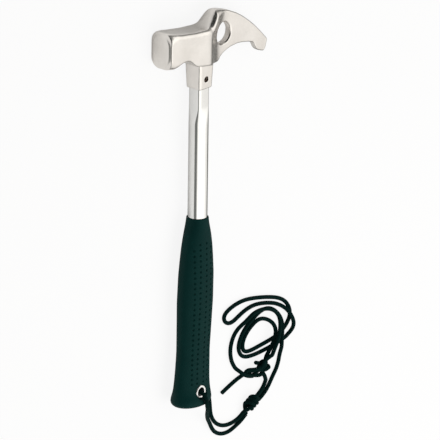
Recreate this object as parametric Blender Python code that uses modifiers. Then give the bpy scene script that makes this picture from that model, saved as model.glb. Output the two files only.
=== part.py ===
"""Piton hammer with a knotted hand cord, lying on its side on the floor z = 0.

A one-piece forged head (square poll, thin curved pick with a round hole) has a square socket below it.
A steel tube, pressed square at its top, enters the socket and is held by a roll pin. A rubber grip covers
the tube's lower half and ends in a flared butt with a metal eyelet, through which a braided cord is tied.

Metres. The rigid pieces are modelled in the hammer's own frame: x from the shaft's axis toward the pick,
y from the butt toward the head, z out of the cheek that faces up. An empty lays that frame on the floor.
The cord's route is given in floor coordinates, in millimetres.
"""

import math

import bmesh
import bpy
import numpy as np

MM = 0.001

# Gap between pieces that touch on the real hammer
CLEARANCE = 0.0003

# Lengths along the shaft, from the butt upward
GRIP_LENGTH = 0.1423
BARE_TUBE = 0.0974
COLLAR_LENGTH = 0.0183

# Head: reaches from the shaft's axis, heights above the lower edge of the cheek
POLL_REACH = 0.0408
PICK_REACH = 0.07
POLL_THICKNESS = 0.0202
PICK_THICKNESS = 0.006
TIP_THICKNESS = 0.004
FACE_LOW = 0.0044
FACE_HIGH = 0.0323
FACE_RIM = 0.0026
RIM_DEPTH = 0.0012
FACE_CORNER = 0.009
ARCH_HEIGHT = 0.0083
NECK_HEIGHT = 0.0267
CREST_HEIGHT = 0.0373
THROAT_HEIGHT = 0.0059
BEAK_DROP = 0.0068
CHEEK_EDGE = 0.0034
LOWER_EDGE = 0.0015
PICK_EDGE = 0.0012

# Carabiner hole through the pick
HOLE_RADIUS = 0.0078
HOLE_REACH = 0.0216
HOLE_HEIGHT = 0.0177
HOLE_CHAMFER = 0.0009

# Socket below the head
COLLAR_WALL = 0.0009
COLLAR_FLARE = 0.0007
COLLAR_CORNER = 0.002
COLLAR_CHAMFER = 0.0007
SOCKET_DEPTH = 0.0105

# Shaft tube
TUBE_RADIUS = 0.0072
TUBE_WALL = 0.0015
SQUARE_HALF = 0.00565
SQUARE_CORNER = 0.0026
SQUARE_LENGTH = 0.0417
PRESS_LENGTH = 0.014
PLUG_FLANGE = 0.0015
PLUG_LENGTH = 0.014
END_RUBBER = 0.0206

# Cross pin
PIN_RADIUS = 0.00175
PIN_BORE = 0.0011
PIN_SLOT = 0.0007
PIN_SINK = 0.0009
PIN_HEIGHT = 0.0073

# Grip: half widths across the flat cheeks' plane, half depths toward the cheeks, and its axis' set-back
BUTT_HALF_WIDTH = 0.0174
BUTT_HALF_DEPTH = 0.0123
BUTT_SET_BACK = 0.0048
BUTT_ROUND = 0.0045
GRIP_HALF_WIDTH = 0.016
GRIP_HALF_DEPTH = 0.0099
WAIST_HALF_WIDTH = 0.0149
WAIST_HALF_DEPTH = 0.0088
RIM_WALL = 0.0005
RIM_ROUND = 0.0011

# Eyelet through the butt
EYELET_HEIGHT = 0.0112
EYELET_SET_BACK = 0.004
EYELET_BORE = 0.003
EYELET_RADIUS = 0.005
EYELET_BARREL = 0.0036
FLANGE_THICKNESS = 0.0012
NEAR_SEAT = 0.0082
FAR_SEAT = 0.0072
WASHER_THICKNESS = 0.0006
LIP_THICKNESS = 0.0004

# Hand cord
CORD_DIAMETER = 0.003
FLOOR_GAP = 0.00005
KNOT_TURN_RADIUS = 0.0032
KNOT_CORE_RADIUS = 0.0034
KNOT_LENGTH = 0.0112
LOWER_KNOT = (54.8, -170.4, 4.85)
LOWER_KNOT_TURNS = ((-3.3, 14), (0.0, -16), (3.3, 12))
LOWER_KNOT_HEADING = 30
UPPER_KNOT = (67.4, -145.6, 4.95)
UPPER_KNOT_TURNS = ((-6.2, 12), (-2.6, -14), (1.2, 16), (5.2, -12))
UPPER_KNOT_HEADING = -57

# The cord's route, end to end: points chosen along each free stretch
NEAR_LEG = (
    (-18.6, -136.4, 12.5), (-18.6, -136.4, 17.8), (-18.6, -136.7, 21.6), (-18.5, -138.6, 24.9),
    (-18.3, -142.1, 26.6), (-17.0, -146.2, 26.2), (-13.7, -150.6, 23.8), (-8.6, -155.6, 19.0),
    (-2.1, -161.6, 13.0), (4.6, -168.1, 7.6), (11.4, -174.9, 3.6), (17.7, -182.6, 1.7),
    (25.1, -187.1, 1.6), (34.0, -187.9, 1.6), (40.9, -185.9, 1.6), (47.1, -183.2, 1.6),
    (51.9, -179.0, 2.4),
)
FAR_LEG = (
    (-18.6, -136.4, 12.1), (-18.8, -136.4, 6.6), (-18.6, -136.3, 4.2), (-17.4, -135.9, 2.4),
    (-14.8, -135.0, 1.6), (-9.6, -133.4, 1.6), (-3.1, -134.1, 1.6), (3.9, -138.9, 1.6),
    (9.4, -146.7, 1.6), (13.0, -160.0, 1.6), (14.8, -170.0, 1.6), (20.9, -178.0, 1.6),
    (30.0, -181.9, 1.6), (38.4, -182.0, 1.6), (45.1, -180.2, 1.6), (49.0, -176.9, 2.4),
)
SHORT_RUN = ((62.6, -168.4, 2.4), (68.2, -165.9, 1.6), (72.0, -161.9, 1.6), (73.1, -158.1, 2.2))
MAIN_LOOPS = (
    (65.5, -171.5, 2.4), (72.0, -168.6, 1.6), (76.5, -164.3, 1.6), (81.3, -157.7, 1.6),
    (86.0, -150.8, 1.6), (88.1, -142.2, 2.0), (86.5, -134.8, 5.1), (86.5, -129.1, 5.3),
    (86.8, -123.7, 5.3), (87.1, -118.4, 4.8), (87.9, -114.2, 2.6), (84.7, -108.9, 1.6),
    (76.8, -103.4, 1.6), (67.9, -102.5, 1.6), (58.0, -106.6, 1.6), (49.8, -112.2, 1.6),
    (44.8, -119.0, 1.6), (43.3, -125.9, 1.6), (46.8, -132.1, 1.6), (54.9, -134.8, 1.6),
    (67.3, -134.7, 1.6), (78.8, -133.5, 1.6), (89.3, -131.7, 1.6), (97.7, -128.7, 1.6),
    (100.2, -123.1, 3.9), (97.2, -115.2, 5.6), (91.8, -107.3, 4.4), (83.8, -101.7, 1.8),
    (70.5, -97.5, 1.6), (57.2, -96.2, 1.6), (45.6, -98.9, 1.6), (37.7, -102.2, 1.6),
    (31.9, -102.8, 1.6), (27.4, -99.8, 1.6), (27.1, -95.9, 1.6), (32.2, -92.2, 1.6),
    (44.9, -89.5, 1.6), (59.0, -90.6, 1.6), (74.9, -94.1, 1.6), (88.1, -98.9, 1.6),
    (96.2, -105.8, 1.6), (98.7, -113.7, 1.6), (95.5, -120.0, 1.6), (88.2, -125.3, 1.6),
    (77.2, -128.2, 1.6), (65.0, -129.8, 1.6), (54.3, -130.6, 1.6), (48.8, -128.6, 1.6),
    (47.6, -123.1, 1.6), (51.3, -116.2, 1.6), (58.1, -111.0, 1.6), (65.4, -108.8, 1.6),
    (73.1, -110.9, 2.4), (77.6, -115.2, 4.6), (79.5, -121.4, 5.2), (78.2, -127.0, 5.2),
    (74.4, -132.0, 5.5), (70.4, -137.6, 4.9),
)
OUTER_LOOP = (
    (56.8, -150.3, 3.6), (50.4, -148.1, 5.0), (45.2, -145.3, 5.3), (42.5, -142.7, 3.6),
    (40.0, -139.9, 1.6), (35.6, -132.4, 1.6), (34.4, -123.8, 1.6), (36.8, -115.8, 1.6),
    (41.1, -109.3, 2.8), (46.5, -104.6, 5.0), (54.7, -100.7, 5.2), (64.2, -99.9, 5.2),
    (74.1, -102.4, 5.4), (81.0, -108.6, 6.2), (81.2, -114.4, 8.0), (80.1, -120.1, 8.7),
    (78.1, -126.1, 9.0), (75.0, -131.2, 9.1), (72.8, -136.9, 8.4),
)
TAIL = (
    (56.2, -145.9, 3.8), (54.1, -146.6, 1.8), (50.0, -147.4, 1.6), (43.8, -148.8, 1.6),
    (35.2, -151.7, 1.6), (26.0, -155.5, 1.6),
)
STUB_END = (59.0, -140.2, 4.6)
STUB_WAY = (0.83, -0.56, 0)

# Facets
CORNER_STEPS = 4
SIDE_STEPS = 5
ROUND_STEPS = 32
GRIP_STEPS = 36
CORD_SAG = 0.00022
CORD_STEP = 0.0068

# Heights that follow from the lengths
HEAD_BASE = GRIP_LENGTH + BARE_TUBE + COLLAR_LENGTH
COLLAR_BASE = HEAD_BASE - COLLAR_LENGTH
TUBE_TOP = HEAD_BASE + SOCKET_DEPTH - CLEARANCE
TUBE_BASE = END_RUBBER + CLEARANCE + PLUG_FLANGE + CLEARANCE
SOCKET_HALF = SQUARE_HALF + CLEARANCE
COLLAR_HALF = SOCKET_HALF + COLLAR_WALL
PIN_Y = COLLAR_BASE + PIN_HEIGHT
RIM_HALF_WIDTH = TUBE_RADIUS + CLEARANCE + RIM_WALL
POLL_HALF = POLL_THICKNESS / 2
PICK_HALF = PICK_THICKNESS / 2

# The hammer rests on the flare of its butt and on the upper edge of the poll's far cheek.
BUTT_CONTACT = BUTT_ROUND
POLL_CONTACT = HEAD_BASE + NECK_HEIGHT
REST_TILT = math.atan2(BUTT_HALF_DEPTH - POLL_HALF, POLL_CONTACT - BUTT_CONTACT)
REST_PLACE = (
    (POLL_REACH - PICK_REACH) / 2,
    -(HEAD_BASE + CREST_HEIGHT) / 2,
    BUTT_HALF_DEPTH * math.cos(REST_TILT) + BUTT_CONTACT * math.sin(REST_TILT),
)


# Scene, materials and objects


def clear_scene():
    for thing in list(bpy.data.objects):
        bpy.data.objects.remove(thing)


def make_collection(name):
    collection = bpy.data.collections.new(name)
    bpy.context.scene.collection.children.link(collection)
    return collection


def make_material(name, colour, roughness, metallic):
    material = bpy.data.materials.new(name)
    material.use_nodes = True
    shader = material.node_tree.nodes["Principled BSDF"]
    shader.inputs["Base Color"].default_value = (*colour, 1)
    shader.inputs["Roughness"].default_value = roughness
    shader.inputs["Metallic"].default_value = metallic
    return material


def place(name, data, collection, parent=None, location=(0, 0, 0), rotation=(0, 0, 0)):
    """A new object that holds the mesh or curve, at its place under its parent."""
    piece = bpy.data.objects.new(name, data)
    collection.objects.link(piece)
    piece.parent = parent
    piece.location = location
    piece.rotation_euler = rotation
    return piece


def finish(piece, material, angle=math.radians(35)):
    """Gives the piece its material and smooth shading with sharp edges left sharp."""
    piece.data.materials.append(material)
    if piece.type == "MESH":
        piece.data.shade_smooth()
        piece.data.set_sharp_from_angle(angle=angle)


# Shapes


def along(keys, x):
    """Value at x of a smooth curve through the (x, value) keys that never overshoots them."""
    places, values = np.array(keys, float).T
    step = np.diff(places)
    slope = np.diff(values) / step
    before, after = slope[:-1], slope[1:]
    same_way = before * after > 0
    near, far = 2 * step[1:] + step[:-1], step[1:] + 2 * step[:-1]
    mean = (near + far) / (near / np.where(same_way, before, 1) + far / np.where(same_way, after, 1))
    tangent = np.concatenate([slope[:1], np.where(same_way, mean, 0), slope[-1:]])
    i = np.clip(np.searchsorted(places, x, "right") - 1, 0, len(step) - 1)
    t = np.clip((x - places[i]) / step[i], 0, 1)
    rise = values[i + 1] - values[i]
    start, end = tangent[i] * step[i], tangent[i + 1] * step[i]
    return values[i] + t * (start + t * (3 * rise - 2 * start - end + t * (start + end - 2 * rise)))


def corner_arc(centre, radius, quadrant, steps):
    """Points of a quarter circle that starts at quadrant * 90 degrees."""
    angle = (quadrant + np.linspace(0, 1, steps + 1)) * math.pi / 2
    return np.stack([centre[0] + radius * np.cos(angle), centre[1] + radius * np.sin(angle)], -1)


def rounded_box(low, high, half, low_radius, high_radius, steps=CORNER_STEPS):
    """Outline of a box that runs from low to high and from -half to half, with a radius at each edge."""
    return np.concatenate([
        corner_arc((high - high_radius, half - high_radius), high_radius, 0, steps),
        corner_arc((low + low_radius, half - low_radius), low_radius, 1, steps),
        corner_arc((low + low_radius, low_radius - half), low_radius, 2, steps),
        corner_arc((high - high_radius, high_radius - half), high_radius, 3, steps),
    ])


def loft(name, rings, ring_loop=False):
    """A closed skin over rings of equal count: end faces close it, or the last ring joins the first."""
    shape = bmesh.new()
    rows = [[shape.verts.new(point) for point in ring] for ring in rings]
    pairs = list(zip(rows, rows[1:] + rows[:1])) if ring_loop else list(zip(rows, rows[1:]))
    for here, there in pairs:
        for a, b, c, d in zip(here, here[1:] + here[:1], there[1:] + there[:1], there):
            shape.faces.new((a, b, c, d))
    if not ring_loop:
        shape.faces.new(rows[0])
        shape.faces.new(rows[-1])
    bmesh.ops.recalc_face_normals(shape, faces=shape.faces)
    mesh = bpy.data.meshes.new(name)
    shape.to_mesh(mesh)
    shape.free()
    return mesh


def cylinder(name, radius, depth, steps=ROUND_STEPS):
    """A cylinder about z, centred on the origin."""
    shape = bmesh.new()
    bmesh.ops.create_cone(shape, cap_ends=True, segments=steps, radius1=radius, radius2=radius, depth=depth)
    mesh = bpy.data.meshes.new(name)
    shape.to_mesh(mesh)
    shape.free()
    return mesh


def turned(name, profile, closed=False):
    """A profile of (radius, height) points, turned round z. Its outer side runs from top to bottom."""
    mesh = bpy.data.meshes.new(name)
    count = len(profile)
    edges = [(i, (i + 1) % count) for i in range(count if closed else count - 1)]
    mesh.from_pydata([(radius, 0, height) for radius, height in profile], edges, [])
    return mesh


def add_screw(piece, steps=ROUND_STEPS):
    turn = piece.modifiers.new("turn", "SCREW")
    turn.steps = turn.render_steps = steps
    turn.use_merge_vertices = True
    turn.merge_threshold = 1e-6
    turn.use_smooth_shade = True


def add_boolean(piece, other, operation):
    step = piece.modifiers.new(other.name, "BOOLEAN")
    step.operation = operation
    step.object = other
    step.solver = "EXACT"


def helper(name, mesh, parent=None, location=(0, 0, 0), rotation=(0, 0, 0)):
    """A cutter or a shape to be joined on, which isn't a piece itself."""
    tool = place(name, mesh, CUTTERS, parent, location, rotation)
    tool.hide_render = True
    tool.display_type = "WIRE"
    return tool


# Head


def head_stations():
    """Places along the head where its section is drawn, closer where it changes faster."""
    rim = -POLL_REACH + RIM_DEPTH * np.array((0, 0.35, 0.7, 1))
    tip = PICK_REACH - 0.0003
    runs = (
        rim,
        np.linspace(-POLL_REACH + RIM_DEPTH, -0.24 * POLL_REACH, 17),
        np.linspace(-0.24 * POLL_REACH, 0, 4),
        np.linspace(0, 0.24 * PICK_REACH, 13),
        np.linspace(0.24 * PICK_REACH, 0.76 * PICK_REACH, 15),
        np.linspace(0.76 * PICK_REACH, 0.93 * PICK_REACH, 10),
        np.linspace(0.93 * PICK_REACH, tip, 8),
    )
    return np.unique(np.round(np.concatenate(runs), 7))


def head_section(x):
    """The head's lower and upper edge, half thickness at the middle and at the crest, and edge radii at x."""
    back, front = POLL_REACH, PICK_REACH
    base = HEAD_BASE
    lower = along((
        (-back, FACE_LOW),
        (-0.84 * back, FACE_LOW + 0.0003),
        (-0.72 * back, 0.6 * ARCH_HEIGHT + 0.4 * FACE_LOW),
        (-0.64 * back, ARCH_HEIGHT - 0.0003),
        (-0.56 * back, ARCH_HEIGHT),
        (-0.49 * back, ARCH_HEIGHT - 0.0005),
        (-0.42 * back, 0.72 * ARCH_HEIGHT),
        (-0.36 * back, 0.42 * ARCH_HEIGHT),
        (-0.3 * back, 0.24 * ARCH_HEIGHT),
        (-0.12 * back, 0.06 * ARCH_HEIGHT),
        (0.049 * front, -0.0007),
        (0.194 * front, -0.0021),
        (0.228 * front, -0.0016),
        (0.26 * front, 0.0007),
        (0.3 * front, 0.38 * THROAT_HEIGHT),
        (0.35 * front, 0.61 * THROAT_HEIGHT),
        (0.424 * front, 0.88 * THROAT_HEIGHT),
        (0.53 * front, THROAT_HEIGHT),
        (0.6 * front, 0.94 * THROAT_HEIGHT),
        (0.707 * front, 0.71 * THROAT_HEIGHT),
        (0.779 * front, 0.45 * THROAT_HEIGHT),
        (0.8 * front, 0.18 * THROAT_HEIGHT),
        (0.811 * front, -0.2 * BEAK_DROP),
        (0.836 * front, -0.51 * BEAK_DROP),
        (0.868 * front, -0.72 * BEAK_DROP),
        (0.907 * front, -0.86 * BEAK_DROP),
        (0.951 * front, -BEAK_DROP),
        (0.97 * front, -0.75 * BEAK_DROP),
        (0.994 * front, 0.1 * THROAT_HEIGHT),
        (front, 0.2 * THROAT_HEIGHT),
    ), x)
    upper = along((
        (-back, FACE_HIGH),
        (-0.9 * back, FACE_HIGH - 0.0007),
        (-0.83 * back, 0.75 * FACE_HIGH + 0.25 * NECK_HEIGHT),
        (-0.64 * back, 0.48 * FACE_HIGH + 0.52 * NECK_HEIGHT),
        (-0.3 * back, 0.14 * FACE_HIGH + 0.86 * NECK_HEIGHT),
        (-0.03 * back, NECK_HEIGHT),
        (0.021 * front, NECK_HEIGHT + 0.0003),
        (0.051 * front, 0.88 * NECK_HEIGHT + 0.12 * CREST_HEIGHT),
        (0.079 * front, 0.72 * NECK_HEIGHT + 0.28 * CREST_HEIGHT),
        (0.136 * front, 0.27 * NECK_HEIGHT + 0.73 * CREST_HEIGHT),
        (0.165 * front, 0.08 * NECK_HEIGHT + 0.92 * CREST_HEIGHT),
        (0.194 * front, CREST_HEIGHT),
        (0.271 * front, 0.965 * CREST_HEIGHT),
        (0.392 * front, 0.895 * CREST_HEIGHT),
        (0.523 * front, 0.783 * CREST_HEIGHT),
        (0.614 * front, 0.68 * CREST_HEIGHT),
        (0.708 * front, 0.555 * CREST_HEIGHT),
        (0.796 * front, 0.425 * CREST_HEIGHT),
        (0.872 * front, 0.298 * CREST_HEIGHT),
        (0.942 * front, 0.167 * CREST_HEIGHT),
        (front, 0.056 * CREST_HEIGHT),
    ), x)
    spread = POLL_HALF - PICK_HALF
    half = PICK_HALF + spread * along((
        (-back, 1), (0.01 * front, 1), (0.021 * front, 0.985), (0.043 * front, 0.93), (0.064 * front, 0.82),
        (0.093 * front, 0.65), (0.157 * front, 0.34), (0.2 * front, 0.2), (0.25 * front, 0.1),
        (0.3 * front, 0.035), (0.357 * front, 0), (front, 0),
    ), x)
    crest_half = PICK_HALF + spread * along((
        (-back, 1), (0.051 * front, 1), (0.093 * front, 0.95), (0.136 * front, 0.85), (0.194 * front, 0.54),
        (0.229 * front, 0.37), (0.271 * front, 0.2), (0.329 * front, 0.04), (0.386 * front, 0), (front, 0),
    ), x)
    thinner = (PICK_HALF - TIP_THICKNESS / 2) * along(((-back, 0), (0.45 * front, 0), (0.95 * front, 1), (front, 1)), x)
    high_radius = along((
        (-back, FACE_CORNER), (-0.97 * back, 0.9 * FACE_CORNER), (-0.9 * back, 0.6 * FACE_CORNER),
        (-0.78 * back, CHEEK_EDGE), (0, CHEEK_EDGE), (0.1 * front, 1.6 * CHEEK_EDGE), (0.157 * front, 1.7 * CHEEK_EDGE),
        (0.229 * front, 1.2 * CHEEK_EDGE), (0.329 * front, PICK_EDGE), (front, PICK_EDGE),
    ), x)
    low_radius = along((
        (-back, FACE_CORNER), (-0.97 * back, 0.9 * FACE_CORNER), (-0.9 * back, 0.55 * FACE_CORNER),
        (-0.77 * back, 1.5 * LOWER_EDGE),
        (-0.36 * back, LOWER_EDGE), (0.228 * front, PICK_EDGE), (front, PICK_EDGE),
    ), x)
    return base + lower, base + upper, half - thinner, crest_half - thinner, low_radius, high_radius


def head_ring(x):
    """The head's outline at x, drawn in over the striking face's rim. Its sides curve from one thickness to the other."""
    low, high, half, crest_half, low_radius, high_radius = (float(value) for value in head_section(x))
    drawn_in = FACE_RIM * (1 - min(1, (x + POLL_REACH) / RIM_DEPTH)) ** 0.85
    low, high, half, crest_half = low + drawn_in, high - drawn_in, half - drawn_in, crest_half - drawn_in
    most = 0.48 * min(high - low, 2 * crest_half)
    outline = rounded_box(low, high, crest_half, min(low_radius, most), min(high_radius, most))
    corner = CORNER_STEPS + 1
    t = np.linspace(0, 1, SIDE_STEPS + 2)[1:-1, None]
    near, far = (outline[k * corner - 1] + t * (outline[k * corner] - outline[k * corner - 1]) for k in (1, 3))
    outline = np.concatenate([outline[:corner], near, outline[corner : 3 * corner], far, outline[3 * corner :]])
    rise = np.clip((outline[:, 0] - HEAD_BASE - 0.6 * NECK_HEIGHT) / (0.6 * (high - HEAD_BASE)), 0, 1)
    rise = rise * rise * (3 - 2 * rise)
    thickness = (half + (crest_half - half) * rise) / crest_half
    return [(x, y, z * share) for (y, z), share in zip(outline, thickness)]


def square_ring(half, corner, y, steps=CORNER_STEPS):
    """A rounded square across the shaft at height y."""
    return [(x, y, -z) for x, z in rounded_box(-half, half, half, corner, corner, steps)]


def make_head(hammer, steel):
    head = place("head", loft("head", [head_ring(x) for x in head_stations()]), PIECES, hammer)
    top = COLLAR_HALF + COLLAR_FLARE
    rings = [
        square_ring(COLLAR_HALF - COLLAR_CHAMFER, COLLAR_CORNER - COLLAR_CHAMFER, COLLAR_BASE),
        square_ring(COLLAR_HALF, COLLAR_CORNER, COLLAR_BASE + COLLAR_CHAMFER),
        square_ring(top, COLLAR_CORNER, HEAD_BASE),
        square_ring(top, COLLAR_CORNER, HEAD_BASE + 0.3 * NECK_HEIGHT),
    ]
    add_boolean(head, helper("collar", loft("collar", rings), hammer), "UNION")
    socket = [square_ring(SOCKET_HALF, SQUARE_CORNER, y) for y in (COLLAR_BASE - 0.002, HEAD_BASE + SOCKET_DEPTH)]
    add_boolean(head, helper("socket", loft("socket", socket), hammer), "DIFFERENCE")
    pin_hole = cylinder("pin_hole", PIN_RADIUS + CLEARANCE, 3 * COLLAR_HALF, 20)
    add_boolean(head, helper("pin_hole", pin_hole, hammer, (0, PIN_Y, 0)), "DIFFERENCE")
    wide, out = HOLE_RADIUS + HOLE_CHAMFER, POLL_HALF + 0.002
    slope = PICK_HALF - HOLE_CHAMFER
    profile = ((0, out), (wide, out), (wide, PICK_HALF), (HOLE_RADIUS, slope),
               (HOLE_RADIUS, -slope), (wide, -PICK_HALF), (wide, -out), (0, -out))
    hole = helper("hole", turned("hole", profile), hammer, (HOLE_REACH, HEAD_BASE + HOLE_HEIGHT, 0))
    add_screw(hole)
    add_boolean(head, hole, "DIFFERENCE")
    finish(head, steel)


# Shaft


def tube_ring(y, inset):
    """The tube's outline at height y: round below, a rounded square from the press upward."""
    square_from = TUBE_TOP - SQUARE_LENGTH - PRESS_LENGTH
    t = min(1, max(0, (y - square_from) / PRESS_LENGTH))
    t = t * t * (3 - 2 * t)
    half = TUBE_RADIUS + t * (SQUARE_HALF - TUBE_RADIUS) - inset
    corner = TUBE_RADIUS + t * (SQUARE_CORNER - TUBE_RADIUS) - inset
    return square_ring(half, corner, y, 7)


def make_shaft(hammer, steel, plastic):
    press = TUBE_TOP - SQUARE_LENGTH - PRESS_LENGTH * np.array((1, 0.75, 0.5, 0.25, 0))
    heights = [TUBE_BASE, *press, TUBE_TOP]
    rings = [tube_ring(y, 0) for y in heights] + [tube_ring(y, TUBE_WALL) for y in reversed(heights)]
    tube = place("shaft_tube", loft("shaft_tube", rings, ring_loop=True), PIECES, hammer)
    pin_hole = cylinder("tube_pin_hole", PIN_RADIUS + CLEARANCE, 3 * TUBE_RADIUS, 20)
    add_boolean(tube, helper("tube_pin_hole", pin_hole, hammer, (0, PIN_Y, 0)), "DIFFERENCE")
    finish(tube, steel)

    inside = TUBE_RADIUS - TUBE_WALL - CLEARANCE
    end = PLUG_FLANGE + PLUG_LENGTH
    profile = ((0, end), (inside - 0.0006, end), (inside, end - 0.0012), (inside, PLUG_FLANGE),
               (TUBE_RADIUS, PLUG_FLANGE), (TUBE_RADIUS, 0), (0, 0))
    plug = place("shaft_end_plug", turned("shaft_end_plug", profile), PIECES, hammer,
                 (0, END_RUBBER + CLEARANCE, 0), (-math.pi / 2, 0, 0))
    add_screw(plug)
    finish(plug, plastic)


def make_pin(hammer, steel):
    """A roll pin: a sleeve with a slot along it, sunk a little below the collar's sides."""
    length = 2 * (COLLAR_HALF - PIN_SINK)
    pin = place("head_pin", cylinder("head_pin", PIN_RADIUS, length, 20), PIECES, hammer, (0, PIN_Y, 0))
    bore = helper("pin_bore", cylinder("pin_bore", PIN_BORE, 2 * length, 12), hammer, (0, PIN_Y, 0))
    add_boolean(pin, bore, "DIFFERENCE")
    shape = bmesh.new()
    bmesh.ops.create_cube(shape, size=1)
    bmesh.ops.scale(shape, vec=(PIN_SLOT, 2 * PIN_RADIUS, 2 * length), verts=shape.verts)
    mesh = bpy.data.meshes.new("pin_slot")
    shape.to_mesh(mesh)
    shape.free()
    slot = helper("pin_slot", mesh, hammer, (0, PIN_Y + PIN_RADIUS, 0))
    add_boolean(pin, slot, "DIFFERENCE")
    finish(pin, steel)


# Grip and eyelet


def grip_ring(y):
    """The grip's oval at height y, drawn in at the butt's rounded end and at the rim's rounded top."""
    rim = GRIP_LENGTH
    width = along((
        (0, BUTT_HALF_WIDTH), (BUTT_ROUND, BUTT_HALF_WIDTH), (0.055 * rim, BUTT_HALF_WIDTH - 0.0006),
        (0.076 * rim, BUTT_HALF_WIDTH - 0.0004), (0.138 * rim, 0.5 * (BUTT_HALF_WIDTH + WAIST_HALF_WIDTH)),
        (0.29 * rim, WAIST_HALF_WIDTH), (0.553 * rim, GRIP_HALF_WIDTH), (0.692 * rim, GRIP_HALF_WIDTH - 0.0005),
        (0.775 * rim, 0.8 * GRIP_HALF_WIDTH + 0.2 * RIM_HALF_WIDTH),
        (0.844 * rim, 0.65 * GRIP_HALF_WIDTH + 0.35 * RIM_HALF_WIDTH),
        (0.9 * rim, 0.46 * GRIP_HALF_WIDTH + 0.54 * RIM_HALF_WIDTH),
        (0.94 * rim, 0.27 * GRIP_HALF_WIDTH + 0.73 * RIM_HALF_WIDTH),
        (0.97 * rim, 0.08 * GRIP_HALF_WIDTH + 0.92 * RIM_HALF_WIDTH), (rim, RIM_HALF_WIDTH),
    ), y)
    depth = along((
        (0, BUTT_HALF_DEPTH), (BUTT_ROUND, BUTT_HALF_DEPTH), (0.041 * rim, BUTT_HALF_DEPTH - 0.0001),
        (0.055 * rim, 0.73 * BUTT_HALF_DEPTH + 0.27 * WAIST_HALF_DEPTH),
        (0.076 * rim, 0.35 * BUTT_HALF_DEPTH + 0.65 * WAIST_HALF_DEPTH),
        (0.097 * rim, 0.12 * BUTT_HALF_DEPTH + 0.88 * WAIST_HALF_DEPTH),
        (0.14 * rim, WAIST_HALF_DEPTH + 0.0001), (0.21 * rim, WAIST_HALF_DEPTH),
        (0.29 * rim, 0.82 * WAIST_HALF_DEPTH + 0.18 * GRIP_HALF_DEPTH), (0.55 * rim, GRIP_HALF_DEPTH),
        (0.7 * rim, GRIP_HALF_DEPTH), (0.844 * rim, 0.65 * GRIP_HALF_DEPTH + 0.35 * RIM_HALF_WIDTH),
        (0.94 * rim, 0.2 * GRIP_HALF_DEPTH + 0.8 * RIM_HALF_WIDTH), (rim, RIM_HALF_WIDTH),
    ), y)
    set_back = BUTT_SET_BACK * along((
        (0, 1), (0.1 * rim, 0.9), (0.21 * rim, 0.72), (0.415 * rim, 0.48), (0.69 * rim, 0.2),
        (0.9 * rim, 0.04), (rim, 0),
    ), y)
    if y < BUTT_ROUND:
        scale = 1 - 0.36 * (1 - math.sqrt(1 - (1 - y / BUTT_ROUND) ** 2))
        width, depth = width * scale, depth * scale
    over = y - (rim - RIM_ROUND)
    if over > 0:
        drawn_in = 0.5 * RIM_WALL * (1 - math.sqrt(1 - min(over / RIM_ROUND, 1) ** 2))
        width, depth = width - drawn_in, depth - drawn_in
    angle = np.linspace(0, 2 * math.pi, GRIP_STEPS, endpoint=False)
    return [(width * math.cos(a) - set_back, y, depth * math.sin(a)) for a in angle]


def make_grip(hammer, rubber):
    butt = BUTT_ROUND * (1 - np.cos(np.linspace(0, math.pi / 2, 6)))
    body = np.linspace(BUTT_ROUND, 0.14 * GRIP_LENGTH, 9)[1:]
    swell = np.linspace(0.14 * GRIP_LENGTH, 0.7 * GRIP_LENGTH, 10)[1:]
    taper = np.linspace(0.7 * GRIP_LENGTH, GRIP_LENGTH - RIM_ROUND, 11)[1:]
    rim = GRIP_LENGTH - RIM_ROUND * np.array((0.5, 0.15, 0))
    heights = np.concatenate([butt, body, swell, taper, rim])
    grip = place("grip", loft("grip", [grip_ring(float(y)) for y in heights]), PIECES, hammer)
    bore_length = GRIP_LENGTH + 0.002 - END_RUBBER
    bore = helper("grip_bore", cylinder("grip_bore", TUBE_RADIUS + CLEARANCE, bore_length), hammer,
                  (0, END_RUBBER + bore_length / 2, 0), (math.pi / 2, 0, 0))
    add_boolean(grip, bore, "DIFFERENCE")
    x, y, deep = -EYELET_SET_BACK, EYELET_HEIGHT, 2 * BUTT_HALF_DEPTH
    passage = cylinder("cord_passage", EYELET_BARREL + CLEARANCE, 2 * deep, 24)
    add_boolean(grip, helper("cord_passage", passage, hammer, (x, y, 0)), "DIFFERENCE")
    for side, seat in ((1, NEAR_SEAT), (-1, FAR_SEAT)):
        name = "near_seat" if side > 0 else "far_seat"
        recess = cylinder(name, EYELET_RADIUS + CLEARANCE, deep)
        place_at = (x, y, side * (seat + deep / 2))
        add_boolean(grip, helper(name, recess, hammer, place_at), "DIFFERENCE")
    finish(grip, rubber)


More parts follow.
